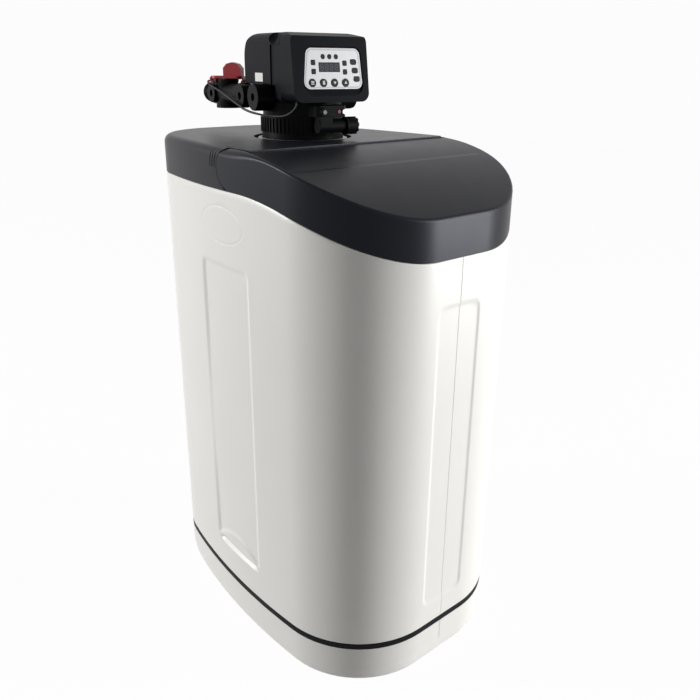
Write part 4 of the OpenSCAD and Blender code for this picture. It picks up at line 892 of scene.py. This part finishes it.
def cable_tree() -> RepeatTree:
    """A sheath along the object's own curve, with small ribs round it."""
    made = RepeatTree("ribbed_sheath", {
        "Radius": ("NodeSocketFloat", 0.0013), "Rib": ("NodeSocketFloat", 0.0003),
        "Pitch": ("NodeSocketFloat", 0.0016)})
    out = made.source.outputs
    section = made.node("GeometryNodeCurvePrimitiveCircle", None, {"Resolution": 10, "Radius": out["Radius"]})
    core = made.node("GeometryNodeCurveToMesh", None,
                     {0: out["Geometry"], 1: section.outputs[0], "Fill Caps": True})
    places = made.node("GeometryNodeCurveToPoints", {"mode": "LENGTH"},
                       {"Curve": out["Geometry"], "Length": out["Pitch"]})
    circle = made.node("GeometryNodeCurvePrimitiveCircle", None, {"Resolution": 10, "Radius": out["Radius"]})
    bead = made.node("GeometryNodeCurvePrimitiveCircle", None, {"Resolution": 5, "Radius": out["Rib"]})
    ring = made.node("GeometryNodeCurveToMesh", None, {0: circle.outputs[0], 1: bead.outputs[0]})
    many = made.node("GeometryNodeInstanceOnPoints", None, {
        "Points": places.outputs["Points"], "Instance": ring.outputs[0],
        "Rotation": places.outputs["Rotation"]})
    both = made.node("GeometryNodeJoinGeometry")
    made.tree.links.new(core.outputs[0], both.inputs[0])
    made.tree.links.new(many.outputs[0], both.inputs[0])
    made.close(both.outputs[0], SHEATH)
    return made


# Valve, head and bypass

@dataclass
class ValveFrame:
    """The valve's own axes: turned about the tank, with millimetres along them."""

    tank_y: float = 44.0
    turn_deg: float = -10.0
    face_y: float = -78.0
    face_z: float = 698.0
    tilt_deg: float = 8.5

    def matrix(self) -> Matrix:
        """From valve millimetres to the frame's metres."""
        return (Matrix.Scale(MM, 4) @ Matrix.Translation((0, self.tank_y, 0))
                @ Matrix.Rotation(math.radians(self.turn_deg), 4, "Z"))

    def face(self) -> Matrix:
        """From the control face's millimetres (across, up, out) to the frame's metres."""
        return (self.matrix() @ Matrix.Translation((0, self.face_y, self.face_z))
                @ Matrix.Rotation(math.radians(90 - self.tilt_deg), 4, "X"))


@dataclass
class Valve:
    """The pressure tank's fittings and the valve body."""

    edge: float = 0.5

    def build(self) -> None:
        """Dresses the valve's solids."""
        for node in ("tank_collar", "base_nut", "valve_body", "chamber_cover", "port_plugs",
                     "injector_cap", "flow_plug", "drain_nut"):
            soft_copy(node, self.edge)


@dataclass
class ControlHead:
    """The two housings, the silver panel and its keys."""

    place: ValveFrame
    edge: float = 1.0
    key_edge: float = 0.25
    label_edge: float = 0.1
    housing_low: float = 713.2
    housing_drop: float = 2.5
    plate_top: float = -0.8
    button_top: float = 0.0
    display_at: Tuple[float, float] = (-1.8, 34.4)
    digit_step: float = 6.6
    digit_count: int = 4
    digit_size: Tuple[float, float] = (3.4, 6.6)
    digit_bar: Tuple[float, float] = (2.6, 0.7)
    digit_sink: float = 0.18
    plate_x: Tuple[float, float] = (-37.8, 43.0)
    plate_u: Tuple[float, float] = (10.0, 55.6)
    plate_lean: Tuple[float, float] = (6.2, 2.8)
    plate_r: float = 8.0
    corner_steps: int = 10
    line_insets: Tuple[float, float] = (1.3, 2.1)
    line_width: float = 0.3
    line_rise: Tuple[float, float] = (-0.02, 0.03)
    sign_rise: Tuple[float, float] = (-0.02, 0.06)
    button_x: Tuple[float, ...] = (-25.8, -10.9, 4.1, 19.1)
    button_u: float = 17.0

    def digits(self) -> bpy.types.Object:
        """Unlit bars of the display's digits."""
        w, h = self.digit_size
        level, upright = 0.0, math.pi / 2
        bars = [(0, du, level) for du in (h / 2, 0, -h / 2)]
        bars += [(dx, du, upright) for du in (h / 4, -h / 4) for dx in (-w / 2, w / 2)]
        places, turns = [], []
        for i in range(self.digit_count):
            x0 = self.display_at[0] + (i - (self.digit_count - 1) / 2) * self.digit_step
            for dx, du, turn in bars:
                at = (x0 + dx, self.display_at[1] + du, self.plate_top - self.digit_sink)
                places.append(tuple(c * MM for c in at))
                turns.append(turn)
        mesh = bpy.data.meshes.new("display_digits")
        mesh.from_pydata(places, [], [])
        mesh.attributes.new("turn", "FLOAT", "POINT").data.foreach_set("value", turns)
        piece = add_object("display_digits", mesh)
        digit_tree().apply(piece, {"Length": self.digit_bar[0] * MM, "Width": self.digit_bar[1] * MM})
        piece.data.transform(self.place.face() @ Matrix.Scale(1 / MM, 4))
        return settle(piece, SEGMENT, "cabinet")

    def slab(self, name: str, shapes: Sequence[Sequence[Tuple[float, float]]], low: float, high: float,
             finish: Finish, body: str) -> bpy.types.Object:
        """Makes flat shapes on the control face into one thin piece.

        Args:
            name: The piece's name.
            shapes: Outlines in face millimetres, counter-clockwise.
            low: Height of the underside over the face.
            high: Height of the top over the face.
            finish: The piece's finish.
            body: The body that it rides on.

        Returns:
            The piece.
        """
        lift = self.place.face()
        points: List[Vector] = []
        faces: List[Tuple[int, ...]] = []
        for shape in shapes:
            n, base = len(shape), len(points)
            points += [lift @ Vector((x, u, low)) for x, u in shape]
            points += [lift @ Vector((x, u, high)) for x, u in shape]
            faces.append(tuple(base + i for i in range(n - 1, -1, -1)))
            faces.append(tuple(base + n + i for i in range(n)))
            for i in range(n):
                j = (i + 1) % n
                faces.append((base + i, base + j, base + n + j, base + n + i))
        return settle(new_piece(name, points, faces, 30), finish, body)

    def icons(self) -> None:
        """White signs on the keys: bars, a hand and two arrows."""
        def box(x: float, u: float, w: float, h: float) -> List[Tuple[float, float]]:
            """A rectangle about a point."""
            x0, x1, u0, u1 = x - w / 2, x + w / 2, u - h / 2, u + h / 2
            return [(x0, u0), (x1, u0), (x1, u1), (x0, u1)]

        u = self.button_u
        menu, manual, down, up = self.button_x
        fingers = [box(manual - 1.1 + 0.75 * i, u + 1.2, 0.55, 2.0) for i in range(4)]
        signs = {
            "menu": [box(menu, u + d, 4.2, 0.8) for d in (-1.5, 0, 1.5)],
            "manual": [box(manual, u - 0.9, 2.9, 2.2)] + fingers,
            "down": [[(down, u - 2), (down + 1.9, u + 1.2), (down - 1.9, u + 1.2)]],
            "up": [[(up - 1.9, u - 1.2), (up + 1.9, u - 1.2), (up, u + 2)]],
        }
        low, high = (self.button_top + rise for rise in self.sign_rise)
        for key, shapes in signs.items():
            self.slab("sign_" + key, shapes, low, high, MARK, key + "_key")

    def outline(self, inset: float) -> List[Tuple[float, float]]:
        """The silver plate's outline with round corners.

        Args:
            inset: Distance inside the plate's edge.

        Returns:
            Points in face millimetres, counter-clockwise.
        """
        x0, x1 = self.plate_x[0] + inset, self.plate_x[1] - inset
        u0, u1 = self.plate_u[0] + inset, self.plate_u[1] - inset
        left, right = self.plate_lean
        corners = [Vector(p) for p in ((x0, u0), (x1, u0), (x1 - right, u1), (x0 + left, u1))]
        r = self.plate_r - inset
        made: List[Tuple[float, float]] = []
        for i, p in enumerate(corners):
            a, b = (corners[i - 1] - p).normalized(), (corners[(i + 1) % 4] - p).normalized()
            half = math.acos(a.dot(b)) / 2
            middle = p + (a + b).normalized() * r / math.sin(half)
            first = p + a * r / math.tan(half) - middle
            for k in range(self.corner_steps + 1):
                w = (math.pi - 2 * half) * k / self.corner_steps
                made.append((middle.x + first.x * math.cos(w) - first.y * math.sin(w),
                             middle.y + first.x * math.sin(w) + first.y * math.cos(w)))
        return made

    def border(self) -> None:
        """A thin printed double line inside the plate's edge."""
        lift = self.place.face()
        points: List[Vector] = []
        faces: List[Tuple[int, ...]] = []
        for inset in self.line_insets:
            outer, inner = self.outline(inset), self.outline(inset + self.line_width)
            n, base = len(outer), len(points)
            for rise in self.line_rise:
                points += [lift @ Vector((x, u, self.plate_top + rise)) for x, u in outer + inner]
            for i in range(n):
                j = (i + 1) % n
                low = [base + i, base + j, base + n + i, base + n + j]
                high = [k + 2 * n for k in low]
                faces.append((low[0], low[2], low[3], low[1]))
                faces.append((high[0], high[1], high[3], high[2]))
                faces.append((low[0], low[1], high[1], high[0]))
                faces.append((low[2], high[2], high[3], low[3]))
        settle(new_piece("panel_border", points, faces, 30), LINE, "cabinet")

    def build(self) -> None:
        """Dresses the housings and adds what is on the panel."""
        housing = soft_copy("rear_housing", self.edge, segments=3)
        for v in housing.data.vertices:
            if v.co.z < (self.housing_low + self.edge) * MM:
                v.co.z -= self.housing_drop * MM
        soft_copy("front_cover", self.edge, segments=3)
        for node in ("panel_plate", "display", "indicator_lenses", "status_lenses", "button_menu",
                     "button_manual", "button_down", "button_up"):
            soft_copy(node, self.key_edge)
        soft_copy("side_label", self.label_edge)
        self.digits()
        self.border()
        self.icons()


@dataclass
class Bypass:
    """The bypass, its red handle, its pipe ends and the sensor cable."""

    place: ValveFrame
    port_x: float = 54.0
    port_z: float = 696.5
    thread_from: float = 153.0
    thread_r: float = 12.9
    thread_bead: float = 0.7
    thread_count: int = 8
    thread_pitch: float = 1.8
    cable_d: float = 3.0
    cable_rib: float = 0.4
    cable_pitch: float = 1.8
    round_deg: float = 60.0
    cable: Tuple[Point, ...] = (
        (-60.2, 139.7, 712.5), (-66, 139.7, 712.4), (-71.5, 137.5, 711.2), (-73.2, 128, 707.6),
        (-73, 114, 704.4),
        (-73, 93, 700.1), (-73, 72.6, 695.1), (-73, 52.6, 690.1), (-73, 33.3, 685.5), (-72.5, 20, 682),
        (-70, 5, 679), (-66, -9, 677.2), (-60.5, -15.5, 675.8), (-55.5, -21, 675.3), (-50.5, -29.6, 675.2),
        (-46, -36.5, 675.8), (-41, -43, 678.6), (-36.5, -47, 683.2), (-34, -48.5, 687.5), (-33.5, -49, 692),
        (-33.5, -49, 698))

    def threads(self) -> None:
        """Thread rings on both pipe ends."""
        tree = thread_tree()
        for side, name in ((-1, "near_thread"), (1, "far_thread")):
            piece = add_object(name, bpy.data.meshes.new(name))
            tree.apply(piece, {"Radius": self.thread_r * MM, "Bead": self.thread_bead * MM,
                               "Count": self.thread_count, "Pitch": self.thread_pitch * MM})
            start = Matrix.Translation((side * self.port_x, self.thread_from, self.port_z))
            piece.data.transform(self.place.matrix() @ start @ Matrix.Rotation(-math.pi / 2, 4, "X")
                                 @ Matrix.Scale(1 / MM, 4))
            smooth(piece.data, self.round_deg)
            settle(piece, VALVE, "cabinet")

    def cable_line(self, steps: int = 6) -> List[Vector]:
        """The cable's route as close points in the frame's metres.

        Args:
            steps: Points for each stretch between two of the route's points.

        Returns:
            The points, from the sensor to the head.
        """
        knots = [Vector(p) for p in self.cable]
        line: List[Vector] = []
        for i in range(len(knots) - 1):
            p0, p1, p2, p3 = knots[max(i - 1, 0)], knots[i], knots[i + 1], knots[min(i + 2, len(knots) - 1)]
            for k in range(steps):
                t = k / steps
                line.append(0.5 * (2 * p1 + (p2 - p0) * t + (2 * p0 - 5 * p1 + 4 * p2 - p3) * t ** 2
                                   + (3 * p1 - p0 - 3 * p2 + p3) * t ** 3))
        line.append(knots[-1])
        lift = self.place.matrix()
        return [lift @ p for p in line]

    def sensor_cable(self) -> None:
        """The ribbed lead from the flow sensor to the head."""
        points = self.cable_line()
        curve = bpy.data.curves.new("sensor_cable_form", "CURVE")
        curve.dimensions = "3D"
        line = curve.splines.new("POLY")
        line.points.add(len(points) - 1)
        for knot, p in zip(line.points, points):
            knot.co = (*p, 1.0)
        path = add_object("sensor_cable_path", curve)
        cable_tree().attach(path, {"Radius": (self.cable_d / 2 - self.cable_rib) * MM,
                                   "Rib": self.cable_rib * MM, "Pitch": self.cable_pitch * MM})
        mesh = evaluated_mesh(path)
        bpy.data.objects.remove(path)
        piece = add_object("sensor_cable_form", mesh)
        smooth(mesh, self.round_deg)
        settle(piece, SHEATH, "cabinet", ["sensor_cable"])
        length = sum((q - p).length for p, q in zip(points, points[1:]))
        log.info("sensor cable: %.0f mm", length / MM)

    def build(self) -> None:
        """Dresses the bypass."""
        soft_copy("bypass_body", 0.5)
        soft_copy("bypass_handle", 1.0, 25, 3)
        soft_copy("bypass_rotor", 0.3)
        soft_copy("flow_sensor", 0.6)
        self.threads()
        self.sensor_cable()


@dataclass
class Insides:
    """Pieces inside the cabinet and the head, which keep their own solids."""

    def build(self) -> None:
        """Gives each remaining node its finish."""
        for node, piece in frame["nodes"].items():
            if piece.hide_render:
                continue
            piece.data.materials.clear()
            piece.data.materials.append(NODE_FINISH[node].material())
            log.info("%s keeps its solid", node)


# Studio

@dataclass(frozen=True)
class Lamp:
    """A soft lamp: its place, its width and height in metres, and its power in watts."""

    name: str
    at: Point
    size: Tuple[float, float]
    power: float

    def build(self, aim: Point) -> None:
        """Adds the lamp, turned towards a point."""
        data = bpy.data.lights.new(self.name, "AREA")
        data.shape, data.energy = "RECTANGLE", self.power
        data.size, data.size_y = self.size
        piece = add_object(self.name, data)
        piece.location = self.at
        piece.rotation_euler = (Vector(aim) - Vector(self.at)).to_track_quat("-Z", "Y").to_euler()


@dataclass
class Studio:
    """Camera, floor, background and lamps. Places here are in metres."""

    eye: Point = (-0.6193, -0.7514, 0.7390)
    yaw: float = 0.72502
    pitch: float = 0.36682
    roll: float = 0.010357
    lens: float = 38.69
    sensor: float = 36.0
    paper: Tuple[float, ...] = (0.985, 0.975, 0.98, 1.0)
    world_light: float = 0.035
    floor_matt: float = 0.6
    floor_glow: float = 1.044
    floor_share: float = 0.95
    floor_half: float = 6.0
    aim: Point = (0.0, 0.0, 0.4)
    lamps: Tuple[Lamp, ...] = (
        Lamp("front_lamp", (3.2, -3.4, 1.5), (1.6, 1.6), 160),
        Lamp("side_lamp", (-3.5, 2.9, 1.6), (1.6, 1.6), 190),
        Lamp("low_lamp", (1.75, -1.95, 0.25), (0.7, 0.45), 36))

    def camera(self) -> None:
        """Puts the camera where the photograph was taken from."""
        level = math.cos(self.pitch)
        ahead = Vector((math.sin(self.yaw) * level, math.cos(self.yaw) * level, -math.sin(self.pitch)))
        right = Vector((math.cos(self.yaw), -math.sin(self.yaw), 0))
        up = right.cross(ahead)
        c, s = math.cos(self.roll), math.sin(self.roll)
        across, upward = right * c + up * s, up * c - right * s
        data = bpy.data.cameras.new("photo_camera")
        data.lens, data.sensor_width = self.lens, self.sensor
        data.clip_start, data.clip_end = 0.01, 50
        eye = add_object("photo_camera", data)
        turn = Matrix((across, upward, -ahead)).transposed().to_4x4()
        eye.matrix_world = Matrix.Translation(self.eye) @ turn
        bpy.context.scene.camera = eye

    @staticmethod
    def seen(graph: Graph) -> Term:
        """1 for rays that show the background itself."""
        def path(out: str) -> Term:
            """One output of Light Path."""
            return graph.node("ShaderNodeLightPath", None, None, out)
        return (path("Is Camera Ray") + path("Is Glossy Ray") + path("Is Transmission Ray")).least(1.0)

    def background(self) -> None:
        """A white background and an even, weaker light from all round."""
        world = bpy.data.worlds.new("studio")
        bpy.context.scene.world = world
        world.use_nodes = True
        graph = Graph(world.node_tree)
        light = graph.node("ShaderNodeBackground", None,
                           {"Color": (1, 1, 1, 1), "Strength": self.world_light})
        shown = graph.node("ShaderNodeBackground", None, {"Color": self.paper, "Strength": 1.0})
        both = graph.node("ShaderNodeMixShader", None, {0: self.seen(graph), 1: light, 2: shown})
        graph.node("ShaderNodeOutputWorld", None, {"Surface": both})

    def floor(self) -> None:
        """A pale floor that keeps a faint shadow."""
        made = bpy.data.materials.new("studio_floor")
        made.use_nodes = True
        graph = Graph(made.node_tree)
        matt = graph.node("ShaderNodeBsdfDiffuse", None, {"Color": (*[self.floor_matt] * 3, 1)})
        glow = graph.node("ShaderNodeEmission", None, {"Color": self.paper, "Strength": self.floor_glow})
        both = graph.node("ShaderNodeMixShader", None,
                          {0: self.seen(graph) * self.floor_share, 1: matt, 2: glow})
        graph.node("ShaderNodeOutputMaterial", None, {"Surface": both})
        h = self.floor_half
        piece = new_piece("studio_floor", [(-h, -h, 0), (h, -h, 0), (h, h, 0), (-h, h, 0)], [(0, 1, 2, 3)])
        piece.data.materials.append(made)

    def build(self) -> None:
        """Sets up the studio."""
        bpy.context.scene.view_settings.view_transform = "Standard"
        self.background()
        self.floor()
        for lamp in self.lamps:
            lamp.build(self.aim)


def main() -> None:
    """Builds everything in order."""
    logging.basicConfig(level=logging.INFO)
    studio = Studio()
    studio.camera()
    place = ValveFrame()
    Bypass(place).build()
    cabinet = Cabinet(Plan())
    cabinet.build()
    Lids(cabinet).build()
    Valve().build()
    ControlHead(place).build()
    Insides().build()
    studio.build()


if __name__ == "__main__":
    main()
